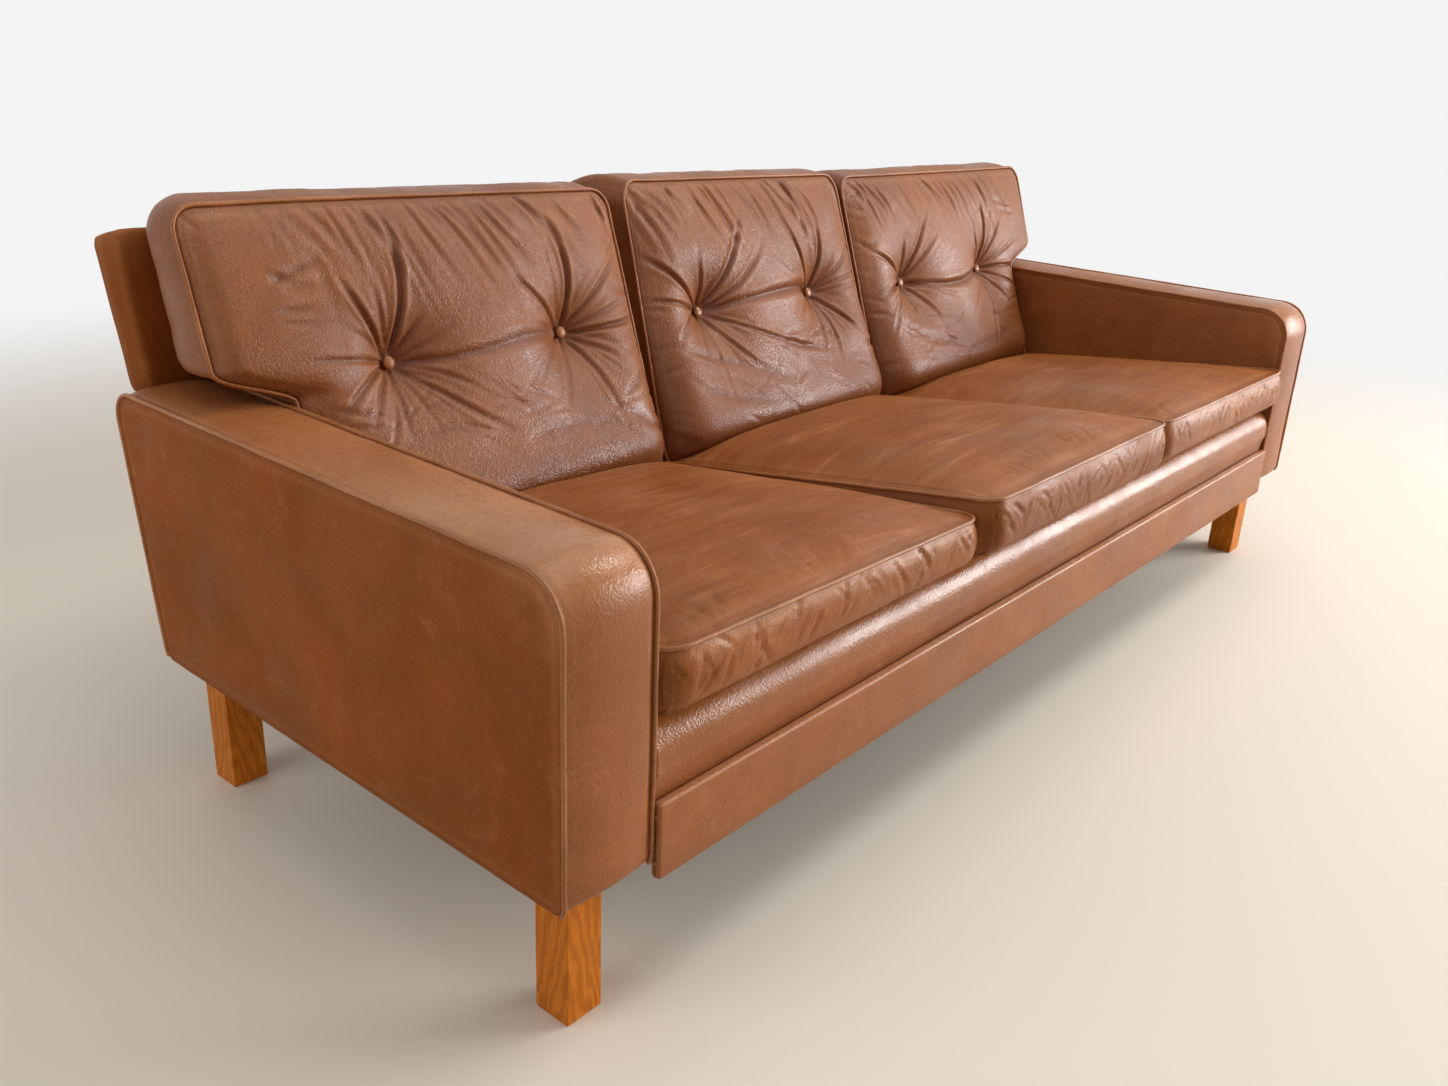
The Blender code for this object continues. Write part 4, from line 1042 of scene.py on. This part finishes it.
back = {
    "cuts": (228, 20, 152),
    "halfHeight": 0.2,
    "frontFootY": 0.530,
    "frontSlope": 0.335,
    "topFrontZ": 0.772,
    "topBackZ": 0.750,
    "topCrown": 0.018,
    "sink": (-0.006, 0.0, 0.013),
    "corner": 0.030,
    "lowCorner": 0.012,
    "crown": 0.044,
    "earEndX": 1.018,
    "earDrop": 0.010,
    "earRise": 0.048,
    "rearInset": 0.045,
    "earBulge": 0.021,
    "bellyPower": 11,
    "buttonZ": 0.570,
    "buttonSpread": 0.1535,
    "buttonSink": 0.006,
    "tuftReach": 0.050,
    "hang": 0.018,
    "footSink": 0.024,
    "topSag": ((-0.0025, -0.0065), (0.001, -0.006), (-0.0005, -0.0025)),
    "leftLean": 0.030,
    "rightLean": 0.008,
    "bottomGap": 0.0006,
    "bottomRise": 0.0065,
    "boardGap": 0.0054,
    "foldReach": 1.25,
    "foldDepth": 1.15,
    "foldWidth": 0.60,
    "foldFades": (0.12, 0.45, 0.34),
    "grooveWidth": 0.0012,
    "grooveDepth": 0.0007,
    "ridgeWear": 0.30,
    "seamWear": 0.30,
    "foldShade": 0.85,
    "seamDirt": 0.80,
    "stitchDirt": 0.40,
    "buttonShade": 0.70,
    "footDarkening": 0.45,
    "lowShine": 0.55,
}
# folds from each button: angle in degrees, then length, bend, depth and width in mm
backFolds = {
    0: {
        -1: [(82, 172, -12, 6.5, 7.5), (120, 112, 2, 6.0, 5.5), (100, 91, 1, 3.0, 6),
             (174, 129, -2, 3.5, 6.5), (-148, 115, -10, 4.5, 6.5), (-131, 91, -3, 3.5, 6),
             (-101, 92, -1, 3.5, 6.5),
             (-38, 169, -11, 3.5, 6.5), (-29, 116, 6, 2.5, 5), (47, 62, -1, 2.5, 6)],
        1: [(94, 150, -16, 6.5, 7.0), (140, 125, -2, 4.5, 6), (35, 160, 5, 4.0, 6.5), (15, 124, -1, 3.0, 6),
            (3, 139, -7, 6.0, 6), (-33, 84, -2, 3.0, 6), (-73, 130, 6, 3.5, 6.5), (-120, 107, 4, 3.0, 6),
            (-148, 111, -1, 2.5, 6)],
    },
    1: {
        -1: [(52, 165, -10, 5.5, 6), (33, 165, -16, 4.5, 6), (96, 70, -5, 3.5, 5), (142, 145, -3, 6.5, 6),
             (169, 140, -4, 4.5, 5.5), (-150, 91, -14, 4.0, 6), (-117, 74, 0, 3.0, 6),
             (-48, 134, -15, 4.0, 6), (-18, 282, -19, 4.0, 6)],
        1: [(86, 120, -15, 5.5, 6), (120, 133, 5, 6.0, 5.5), (30, 128, -4, 4.0, 6), (9, 134, 2, 3.5, 5),
            (-43, 114, -5, 5.0, 5.5), (-94, 119, 13, 3.5, 6), (-114, 113, 7, 3.0, 6), (-151, 82, -4, 2.5, 6)],
    },
    2: {
        -1: [(55, 134, 4, 5.5, 6), (38, 122, -2, 4.0, 6), (92, 80, 4, 3.0, 6), (152, 124, -5, 6.0, 6),
             (-169, 100, -3, 5.5, 6), (-140, 129, -8, 3.5, 6), (-107, 84, 10, 3.0, 6),
             (-55, 128, 3, 3.0, 6), (-18, 139, -1, 2.5, 6)],
        1: [(90, 135, -6, 6.5, 6), (110, 103, 12, 4.0, 6), (48, 150, 4, 4.0, 6), (18, 150, 3, 3.5, 6),
            (-6, 150, 5, 6.0, 6), (-20, 140, -8, 3.5, 6), (-49, 119, -8, 3.0, 6), (-115, 151, 13, 3.5, 6),
            (-143, 118, -5, 2.5, 6)],
    },
}
# long folds: points across and up from the cushion's middle at the buttons' height, depth and width, in mm
backSags = {
    0: [([(-150, 0), (-80, -8), (-20, -6), (60, 2), (145, 2)], 4.5, 6.5),
        ([(-10, -135), (60, -125), (140, -132), (240, -142)], 2.0, 8),
        ([(205, -110), (245, -92), (290, -76)], 2.5, 6),
        ([(-190, -100), (-110, -96), (-50, -106)], 2.0, 8),
        ([(150, -95), (215, -130), (270, -150)], 2.0, 7)],
    1: [([(-150, 0), (-100, 4), (-30, 8), (40, 11), (100, 12), (150, 3)], 6.0, 6.5),
        ([(-290, -32), (-220, -62), (-134, -90), (-33, -124), (53, -142)], 2.6, 8),
        ([(-270, -80), (-218, -124), (-152, -144), (-54, -160), (38, -158)], 2.4, 8),
        ([(-24, -70), (43, -88), (120, -88)], 3.0, 6)],
    2: [([(-150, 0), (-100, -12), (-40, -20), (20, -19), (80, -8), (150, 0)], 6.5, 6.5),
        ([(-240, -70), (-160, -110), (-60, -130), (60, -126)], 2.4, 8),
        ([(-120, -120), (-20, -150), (120, -140), (230, -110)], 2.2, 8)],
}
# gathers from the top seam and from the sides, fine lines around the buttons, and creases of the belly
topGathers = {"count": 34, "length": (0.08, 0.20), "bend": 0.010, "points": 9, "depth": (0.0014, 0.0032),
              "width": (0.0038, 0.0065), "fades": (0.10, 0.3, 0.4)}
sideGathers = {"count": 16, "length": (0.04, 0.10), "bend": 0.006, "points": 8, "depth": (0.0012, 0.0028),
               "width": (0.0038, 0.006), "fades": (0.15, 0.3, 0.4)}
buttonLines = {"count": 15, "length": (0.06, 0.19), "bend": 0.010, "points": 10, "depth": (0.0009, 0.0021),
               "width": (0.0028, 0.0042), "fades": (0.16, 0.35, 0.35)}
bellyCreases = {"count": 22, "length": (0.05, 0.16), "bend": 0.012, "points": 9, "depth": (0.0008, 0.0018),
                "width": (0.003, 0.0045), "fades": (0.3, 0.4, 0.4)}
seatFoot = seatTop(back["frontFootY"]) + sofa["weltRadius"] + back["bottomGap"] + back["bottomRise"]
backFoot = seatTop(boardFace(seatFoot)) + sofa["weltRadius"] + back["bottomGap"] + back["bottomRise"]
armCrest = 0.553
forward = np.array([0, -1, back["frontSlope"]]) / math.hypot(1, back["frontSlope"])


def backTop(index):
    return back["topFrontZ"] - back["sink"][index]


def earSide(u, index):
    # the outer side of the left and of the right cushion
    return ((index == 0) & (u < 0)) | ((index == 2) & (u > 0))


def earAt(z):
    # 0 beside the arm and 1 above it
    low = armCrest + sofa["seamSetback"] - back["earDrop"]
    return fade(low, low + back["earRise"], z)


def backSeam(u, w, index, rear):
    # u across and w up, both from -1 to 1
    half = seatPitch / 2
    middle = cushionMiddle(index)
    halfHeight = (backTop(index) - seatFoot) / 2
    high = roundCorner(u * half, w * halfHeight, half, halfHeight, back["corner"])
    lower = roundCorner(u * half, w * halfHeight, half, halfHeight, back["lowCorner"])
    a = np.where(w > 0, high[0], lower[0])
    b = np.where(w > 0, high[1], lower[1])
    share = (b / halfHeight + 1) / 2
    sag, tilt = back["topSag"][index]
    z = mix(seatFoot, backTop(index), share) + share ** 3 * (sag + tilt * a / half)
    hasEar = earSide(u, index)
    rise = earAt(z)
    # beside the arm the cushion is narrower, and its ear reaches over the arm
    narrow = half - 0.0036 - sofa["seamSetback"]
    wide = back["earEndX"] - abs(middle) - sofa["seamSetback"] - (back["rearInset"] if rear else 0)
    end = np.where(hasEar, mix(narrow, wide, rise), half - sofa["seamSetback"])
    core, rim = 0.75 * half, half - back["corner"]
    stretched = core + (np.abs(a) - core) * (end - back["corner"] - core) / (rim - core)
    inner = np.where(np.abs(a) > core, stretched, np.abs(a))
    moved = np.where(np.abs(a) > rim, np.abs(a) + end - half, inner)
    x = middle + np.sign(a) * moved
    if not rear:
        # the middle cushion has slipped a little, and its left edge leans in
        if index == 1:
            lean = back["leftLean"] * np.clip(-u, 0, 1) ** 2 - back["rightLean"] * np.clip(u, 0, 1) ** 2
            x = x + share * lean
        # its lower edge has settled between the seats
        z = z - back["footSink"] * np.clip(1 - share / 0.25, 0, 1) ** 2
        return x, back["frontFootY"] + (z - seatTop(back["frontFootY"])) * back["frontSlope"], z
    turn = 0.45
    under = (backFoot - seatFoot) * (1 - share / turn)
    over = (back["topBackZ"] - back["topFrontZ"]) * (share - turn) / (1 - turn)
    z = z + np.where(share < turn, under, over)
    return x, boardFace(z) - back["boardGap"], z


def backFullness(u, w, hasEar):
    # fuller below, where the filling has sunk, and there almost up to the cushion beside it
    rise = np.where(w < 0, 1 - np.abs(w) ** back["bellyPower"], 1 - w ** 4) ** 0.8
    power = np.where(hasEar, 4.5, mix(5, 11, fade(0.2, -0.8, w)))
    return back["crown"] * (1 - 0.25 * w) * (1 - np.abs(u) ** power) ** 0.8 * rise


def frontPush(x, z, u, w, index):
    middle = cushionMiddle(index)
    push = backFullness(u, w, earSide(u, index))
    folds = np.zeros(len(x))
    buttonZ = back["buttonZ"] - back["sink"][index]
    for side, table in backFolds[index].items():
        buttonX = middle + side * back["buttonSpread"]
        away = np.hypot(x - buttonX, z - buttonZ)
        pull = np.exp(-(np.maximum(0, away - 0.009) / back["tuftReach"]) ** 1.2)
        push = mix(push, -back["buttonSink"], pull)
        for angle, length, bend, depth, width in table:
            line = bentLine((buttonX, buttonZ), angle, length / 1000 * back["foldReach"], bend / 1000)
            folds += crease(x, z, line, depth / 1000 * back["foldDepth"], width / 1000 * back["foldWidth"],
                            *back["foldFades"])
    for points, depth, width in backSags[index]:
        line = np.array(points) / 1000 + (middle, buttonZ)
        fine = np.stack([np.interp(np.linspace(0, len(line) - 1, 24), range(len(line)), line[:, axis])
                         for axis in (0, 1)], -1)
        # the fold between the buttons keeps its depth from end to end
        fades = (0.10, 0.90) if depth > 4 else (0.3, 0.6)
        folds += crease(x, z, fine, depth / 1000, width / 1000, *fades)
    rng = np.random.default_rng(70 + index)
    reach = seatPitch / 2
    for _ in range(topGathers["count"]):
        start = (middle + rng.uniform(-0.98, 0.98) * reach, backTop(index) + 0.002)
        folds += drawnCrease(rng, x, z, start, rng.uniform(-78, -52), topGathers)
    for _ in range(sideGathers["count"]):
        side = rng.choice([-1, 1])
        start = (middle + side * reach, rng.uniform(0.40, 0.74))
        turn = rng.uniform(-35, 25) if side < 0 else 180 + rng.uniform(-25, 35)
        folds += drawnCrease(rng, x, z, start, turn, sideGathers)
    for side in backFolds[index]:
        start = (middle + side * back["buttonSpread"], buttonZ)
        count = buttonLines["count"]
        for angle in np.arange(0, 360, 360 // count) + rng.uniform(-9, 9, count):
            folds += drawnCrease(rng, x, z, start, angle, buttonLines)
    for _ in range(bellyCreases["count"]):
        start = (middle + rng.uniform(-0.9, 0.7) * reach, rng.uniform(0.39, 0.52))
        turn = rng.choice([-28, -12, 12, 150]) + rng.uniform(-14, 14)
        folds += drawnCrease(rng, x, z, start, turn, bellyCreases)
    keep = (1 - np.abs(u) ** 30) * (1 - np.abs(w) ** 26)
    return push, folds * keep


def buildBackCushion(index):
    name = ("left", "middle", "right")[index]
    across, deep, high = back["cuts"]
    halfX, halfZ = seatPitch / 2, back["halfHeight"]
    u, v, w, faces = blockGrid(steps(across, halfX), steps(deep), steps(high, halfZ), "rear")
    x, y, z = backSeam(u, w, index, False)
    xr, yr, zr = backSeam(u, w, index, True)
    share = (v + 1) / 2
    front = v == -1
    push, folds = frontPush(x, z, u, w, index)
    base = np.stack([mix(x, xr, share), mix(y, yr, share), mix(z, zr, share)], -1)
    side = 1 - v ** 2
    # the boxing swells square to its seam, most on top and where an ear stands free
    eps = 0.004
    onSide = np.abs(u) == 1
    rim = onSide | (np.abs(w) == 1)
    du, dw = np.where(onSide, 0, eps), np.where(onSide, eps, 0)
    x0, _, z0 = backSeam(np.clip(u - du, -1, 1), np.clip(w - dw, -1, 1), index, False)
    x1, _, z1 = backSeam(np.clip(u + du, -1, 1), np.clip(w + dw, -1, 1), index, False)
    length = np.maximum(np.hypot(x1 - x0, z1 - z0), 1e-9)
    turn = np.where(onSide, np.sign(u), -np.sign(w))
    outX, outZ = turn * (z1 - z0) / length, -turn * (x1 - x0) / length
    hasEar = earSide(u, index)
    plain = sofa["seamSetback"] - 0.0006
    sideways = np.where(hasEar, mix(plain, back["earBulge"], earAt(z)), plain)
    upright = np.where(outZ > 0, np.where(w > 0, back["topCrown"], plain), plain)
    bulge = (sideways * outX ** 2 + upright * outZ ** 2) * side * rim
    base[:, 0] += outX * bulge
    base[:, 2] += outZ * bulge
    ripple = lumps(np.stack([base[:, 0], base[:, 1] * 0.35, base[:, 2] * 0], -1), 0.018, 50 + index)
    top = w == 1
    base[:, 2] += (0.0009 * ripple + 0.0014 * lumps(base, 0.12, index)) * side * top
    ripple = lumps(np.stack([base[:, 0] * 0, base[:, 1] * 0.45, base[:, 2]], -1), 0.022, 60 + index)
    base[:, 0] += u * 0.0019 * ripple * side * onSide
    points = base + forward * ((push + folds) * front)[:, None]
    # the belly hangs over its lower seam
    hang = np.exp(-((w + 0.90) / 0.17) ** 2) * (1 - np.abs(u) ** np.where(hasEar, 3, 10)) * front * (w > -1)
    points[:, 1] -= back["hang"] * hang
    points[:, 1] -= 0.0012 * lumps(points, 0.045, 80 + index) * front * (1 - u ** 8) * (1 - w ** 8)
    toRim = np.minimum((1 - np.abs(u)) * seatPitch / 2, (1 - np.abs(w)) * halfZ)
    groove = seamGroove(toRim, sofa["stitchAt"], back["grooveWidth"], back["grooveDepth"])
    points += forward * (groove * front)[:, None]
    obj = addMesh(f"backCover_{name}", points, faces, backLeather)

    # rubbed ridges and seams, dark seams and stitches, and painted shade in the valleys, round the buttons
    # and towards the foot
    valley = np.clip(-folds / 0.0034, 0, 1) * front
    ridge = np.clip(folds / 0.0022, 0, 1) * front
    wearAndHighlight = ridge * back["ridgeWear"] + band(toRim, 0.010, 0.006) * back["seamWear"] * front
    # painted shade in the fold valleys, and dark seams
    dirtAndShade = valley * back["foldShade"] + band(toRim, 0, 0.0035) * back["seamDirt"] * front
    dirtAndShade += back["stitchDirt"] * band(toRim, sofa["stitchAt"], 0.0014) * front
    dirtAndShade += (~front) * band((v + 1) * 0.074, 0, 0.006) * 0.70
    buttonZ = back["buttonZ"] - back["sink"][index]
    # painted shade in the dimples round the buttons
    for sideSign in (-1, 1):
        buttonX = cushionMiddle(index) + sideSign * back["buttonSpread"]
        away = np.hypot(points[:, 0] - buttonX, points[:, 2] - buttonZ)
        dirtAndShade += back["buttonShade"] * band(away, 0, 0.020) * front
    # painted shade towards the bottom, where the cushion meets the seat
    dirtAndShade += back["footDarkening"] * fade(0.46, 0.38, points[:, 2])
    low = fade(0.66, 0.50, points[:, 2]) * front
    paint(obj, "wearAndHighlight", np.clip(wearAndHighlight, 0, 0.75))
    paint(obj, "dirtAndShade", np.clip(dirtAndShade, 0, 0.85))
    paint(obj, "shine", np.clip(back["lowShine"] * low * (0.7 + 0.5 * lumps(points, 0.06, 5)), 0, 1.0))
    dress(obj, "leather", f"back_cushion_{name}", fill=0.8)


def buildBackCords(index):
    name = ("left", "middle", "right")[index]
    uv = rimLine(160, 160)
    for rear, label in ((False, "front"), (True, "rear")):
        x, y, z = backSeam(uv[:, 0], uv[:, 1], index, rear)
        line = spaced(np.stack([x, y, z], -1), cord["spacing"])
        line = ringOffset(line, tuple(forward), sofa["weltOff"] - 0.0010, 0.35 if not rear else 0.0)
        addCord(f"backCord_{label}_{name}", line, f"back_welt_{label}_{name}", True, cord["rubbedBack"])


print("back cushions")
for index in range(3):
    buildBackCushion(index)
    buildBackCords(index)


# front rail, its strip, and the back board

rail = {
    "half": 0.9194,
    "faceY": -0.0304,
    "bulge": 0.0050,
    "crestZ": 0.3395,
    "round": 0.0395,
    "lipEnd": 0.014,
    "lipLow": 0.3360,
    "baseZ": 0.190,
    "stripTop": 0.254,
    "stripLow": 0.1615,
    "stripThick": 0.013,
    "stripEdge": 0.0035,
    "tackZ": (0.238, 0.182),
    "tackRadii": (0.0016, 0.0034, 0.0034),
}


def loft(name, profile, xs, material):
    # a closed outline in Y and Z, carried along X, with both ends closed
    count = len(profile)
    rings = np.array([[(x, y, z) for y, z in profile] for x in xs])
    ids = np.arange(len(xs) * count).reshape(len(xs), count)
    nextIds = np.roll(ids, -1, axis=1)
    quads = np.stack([ids[:-1], nextIds[:-1], nextIds[1:], ids[1:]], -1).reshape(-1, 4).tolist()
    faces = quads + [ids[0][::-1].tolist(), ids[-1].tolist()]
    return addMesh(name, rings.reshape(-1, 3), faces, material)


def buildRail():
    belly = rail["faceY"] - rail["bulge"]
    profile = [(rail["faceY"], z) for z in np.linspace(rail["baseZ"], rail["stripTop"], 8)]
    profile += [(mix(rail["faceY"], belly, t * t), rail["stripTop"] + 0.030 * t)
                for t in np.linspace(0.2, 1, 5)]
    profile += [(belly, z) for z in np.linspace(0.286, rail["crestZ"] - rail["round"], 3)[:-1]]
    for angle in np.radians(np.linspace(180, 90, 13)):
        profile.append((belly + rail["round"] * (1 + math.cos(angle)),
                        rail["crestZ"] - rail["round"] * (1 - math.sin(angle))))
    profile += [(rail["lipEnd"], rail["crestZ"]), (rail["lipEnd"], rail["lipLow"]), (-0.0003, rail["lipLow"]),
                (-0.0003, rail["baseZ"])]
    obj = loft("railCover", profile, np.linspace(-rail["half"], rail["half"], 301), leather)
    points = readPoints(obj) - (0, legFaceY, 0)
    y, z = points[:, 1], points[:, 2]
    face = (y < 0.012) & (y > -0.04) & (z > 0.256)
    slack = lumps(points, (0.11, 0.03, 0.03), 2) * 0.0010 + lumps(points, (0.030, 0.02, 0.02), 6) * 0.0004
    atEnd = np.exp(-(rail["half"] - np.abs(points[:, 0])) / 0.020)
    pleat = lumps(points, (0.05, 0.012, 0.012), 14) * 0.0018 * atEnd
    pushOut(obj, (slack + pleat) * face)
    wearAndHighlight = band(z, 0.322, 0.012) * 0.28 + atEnd * 0.25
    paint(obj, "wearAndHighlight", np.clip(wearAndHighlight, 0, 0.7))
    # painted shade low on the face above the strip, and on the top under the seat cushions
    paint(obj, "dirtAndShade", np.clip(0.7 * fade(0.275, 0.252, z) + 0.5 * (y > -0.01), 0, 0.9))
    paint(obj, "shine", band(z, 0.318, 0.020) * 1.2)
    dress(obj, "leather", "front_rail_pad", fill=1.0)


def buildStrip():
    y1 = rail["faceY"] - 0.0003
    y0 = y1 - rail["stripThick"]
    edge = rail["stripEdge"]
    low, high = rail["stripLow"] + edge, rail["stripTop"] - edge
    profile = []
    for cy, cz, start in ((y0 + edge, low, 180), (y1 - edge, low, 270),
                          (y1 - edge, high, 0), (y0 + edge, high, 90)):
        for angle in np.radians(np.linspace(start, start + 90, 5)):
            profile.append((cy + edge * math.cos(angle), cz + edge * math.sin(angle)))
    profile += [(y0, z) for z in np.linspace(high, low, 14)[1:-1]]
    half = rail["half"]
    ends = [0.0, 0.0008, 0.002, 0.0035]
    xs = [-half + end for end in ends]
    xs += list(np.linspace(-half + 0.01, half - 0.01, 260))
    xs += [half - end for end in reversed(ends)]
    obj = loft("stripCover", profile, xs, leather)
    points = readPoints(obj) - (0, legFaceY, 0)
    x, y, z = points.T
    # the ends are rounded over
    inFrom = half - np.abs(x)
    shrink = edge - np.sqrt(np.maximum(edge ** 2 - (edge - np.minimum(inFrom, edge)) ** 2, 0))
    cy, cz = (y0 + y1) / 2, (rail["stripLow"] + rail["stripTop"]) / 2
    y = y - np.sign(y - cy) * shrink
    z = z - np.sign(z - cz) * shrink
    wave = lumps(points, (0.14, 0.05, 0.05), 18) * 0.0007
    y = np.where(y < cy, y + wave, y)
    moved = np.stack([x, y, z], -1) + (0, legFaceY, 0)
    obj.data.vertices.foreach_set("co", moved.ravel())
    obj.data.update()
    # the top edge is painted pale as a highlight and made glossier; the ends are rubbed
    highlightEdge = band(z, rail["stripTop"], 0.0022) * (y < cy + 0.003)
    endEdge = np.exp(-inFrom / 0.004)
    paint(obj, "wearAndHighlight", np.clip(0.85 * highlightEdge + 0.35 * endEdge, 0, 0.9))
    paint(obj, "dirtAndShade", np.clip(0.35 * fade(0.185, 0.160, z), 0, 0.9))
    paint(obj, "shine", highlightEdge)
    dress(obj, "leather", "apron_strip")
    for name, tackZ in zip(("upper", "lower"), rail["tackZ"]):
        addTack(f"stripTack_{name}", (-half - 0.0006, cy, tackZ))


def addTack(name, at):
    bpy.ops.mesh.primitive_uv_sphere_add(segments=16, ring_count=8, radius=1.0, location=(0, 0, 0))
    obj = bpy.context.object
    obj.name = name
    points = readPoints(obj) * rail["tackRadii"] + np.array(at) + (0, legFaceY, 0)
    obj.data.vertices.foreach_set("co", points.ravel())
    obj.data.shade_smooth()
    obj.data.materials.append(buttonLeather)
    for layer, value in (("wearAndHighlight", 0.3), ("dirtAndShade", 0.3), ("shine", 0.6)):
        paint(obj, layer, np.full(len(points), value))
    dress(obj, "button_leather")


board = {
    "halfLow": 0.9194,
    "halfWide": 1.020,
    "shoulderZ": 0.5465,
    "wideHeight": 0.203,
    "baseThick": 0.044,
    "topThick": 0.064,
    "corner": 0.015,
    "lowCorner": 0.012,
    "voxel": 0.0065,
    "slack": 0.0012,
    "ripple": 0.0005,
    "cornerFolds": 0.0016,
}


def buildBoard():
    lean = sofa["boardLean"]
    shoulder = (board["shoulderZ"] - sofa["boardFootZ"]) / math.cos(lean)
    top = shoulder + board["wideHeight"]
    low, wide = board["halfLow"], board["halfWide"]
    # the front outline: across, up and radius of each corner, from the lower left one
    lowRadius, topRadius = board["lowCorner"], board["corner"]
    corners = [(-low, 0, 0), (low, 0, 0), (low, shoulder, 0),
               (wide, shoulder, lowRadius), (wide, top, topRadius),
               (-wide, top, topRadius), (-wide, shoulder, lowRadius), (-low, shoulder, 0)]
    outline = []
    for index, (a, b, radius) in enumerate(corners):
        here = np.array((a, b))
        if radius == 0:
            outline.append(here)
            continue
        before = np.array(corners[index - 1][:2]) - here
        after = np.array(corners[(index + 1) % len(corners)][:2]) - here
        before, after = before / np.linalg.norm(before) * radius, after / np.linalg.norm(after) * radius
        for angle in np.radians(np.linspace(0, 90, 7)):
            outline.append(here + before + after - before * math.sin(angle) - after * math.cos(angle))
    half = board["baseThick"] / 2
    count = len(outline)
    rings = np.concatenate([np.column_stack([outline, np.full(count, depth)]) for depth in (half, -half)])
    ids = np.arange(count)
    faces = [ids.tolist(), (ids[::-1] + count).tolist()]
    nextId = np.roll(ids, -1)
    faces += np.stack([ids, ids + count, nextId + count, nextId], -1).tolist()
    mesh = bpy.data.meshes.new("boardShape")
    mesh.from_pydata(rings.tolist(), [], faces)
    helper = bpy.data.objects.new("boardShape", mesh)
    bpy.context.scene.collection.objects.link(helper)
    remesh = helper.modifiers.new("dense", "REMESH")
    remesh.mode = "VOXEL"
    remesh.voxel_size = board["voxel"]
    smooth = helper.modifiers.new("soft", "SMOOTH")
    smooth.iterations = 2
    smooth.factor = 0.5
    bpy.context.view_layer.update()
    dense = bpy.data.meshes.new_from_object(helper.evaluated_get(bpy.context.evaluated_depsgraph_get()))
    bpy.data.objects.remove(helper)
    dense.name = "boardCover"
    obj = bpy.data.objects.new("boardCover", dense)
    bpy.context.scene.collection.objects.link(obj)
    a, b, c = readPoints(obj).T
    # it gets thicker towards the top, on its rear side
    swell = (board["topThick"] - board["baseThick"]) * np.clip(b / top, 0, 1)
    c = np.where(c < 0, c - swell * np.clip(-c / half, 0, 1), c)
    along = np.array([0, math.sin(lean), math.cos(lean)])
    out = np.array([0, -math.cos(lean), math.sin(lean)])
    foot = np.array([0, sofa["boardFootY"], sofa["boardFootZ"]]) - out * (board["baseThick"] / 2)
    points = foot + np.outer(a, (1, 0, 0)) + np.outer(b, along) + np.outer(c, out)
    dense.vertices.foreach_set("co", (points + (0, legFaceY, 0)).ravel())
    dense.shade_smooth()
    dense.materials.clear()
    dense.materials.append(shadedBoardLeather)
    dense.update()
    atEnd = fade(0.10, 0.0, wide - np.abs(a))
    soft = lumps(points, (0.20, 0.06, 0.12), 25) * board["slack"] + lumps(points, 0.045, 26) * board["ripple"]
    corner = np.exp(-((wide - np.abs(a)) / 0.035) ** 2 - ((top - b) / 0.035) ** 2)
    soft += corner * lumps(points, (0.012, 0.012, 0.03), 27) * board["cornerFolds"]
    pushOut(obj, soft)
    edge = np.minimum(np.minimum(wide - np.abs(a), top - b), 1.0)
    rim = np.exp(-edge / 0.004) * band(np.abs(c), half, 0.006)
    paint(obj, "wearAndHighlight", np.clip(0.55 * rim + 0.35 * corner, 0, 0.8))
    # painted shade where the ears rest on the arms, low down behind the cushions, and on the end faces
    dirtAndShade = 0.4 * fade(0.02, 0.0, b - shoulder) * (np.abs(a) > low) + 0.3 * fade(0.10, 0, b)
    paint(obj, "dirtAndShade", np.clip(dirtAndShade + 0.45 * fade(0.006, 0.0, wide - np.abs(a)), 0, 0.8))
    paint(obj, "shine", 0.3 * atEnd)
    dress(obj, "leather", "back_board", fill=1.0)


print("rail, strip and back board")
buildRail()
buildStrip()
buildBoard()


# the CAD nodes that keep their shape get their finish

def finishNodes():
    finishes = {"oak": oak, "frame_wood": frameWood, "webbing": webbing, "dust_cloth": dustCloth,
                "bolt_steel": boltSteel, "button_leather": buttonLeather}
    slots = {entry["node"]: entry["material_slot"] for entry in frame["record"]["subparts"]}
    for name, node in frame["nodes"].items():
        material = finishes.get(slots.get(name))
        if material is None:
            continue
        node.data.materials.clear()
        node.data.materials.append(material)


print("legs, buttons and the frame inside")
finishNodes()
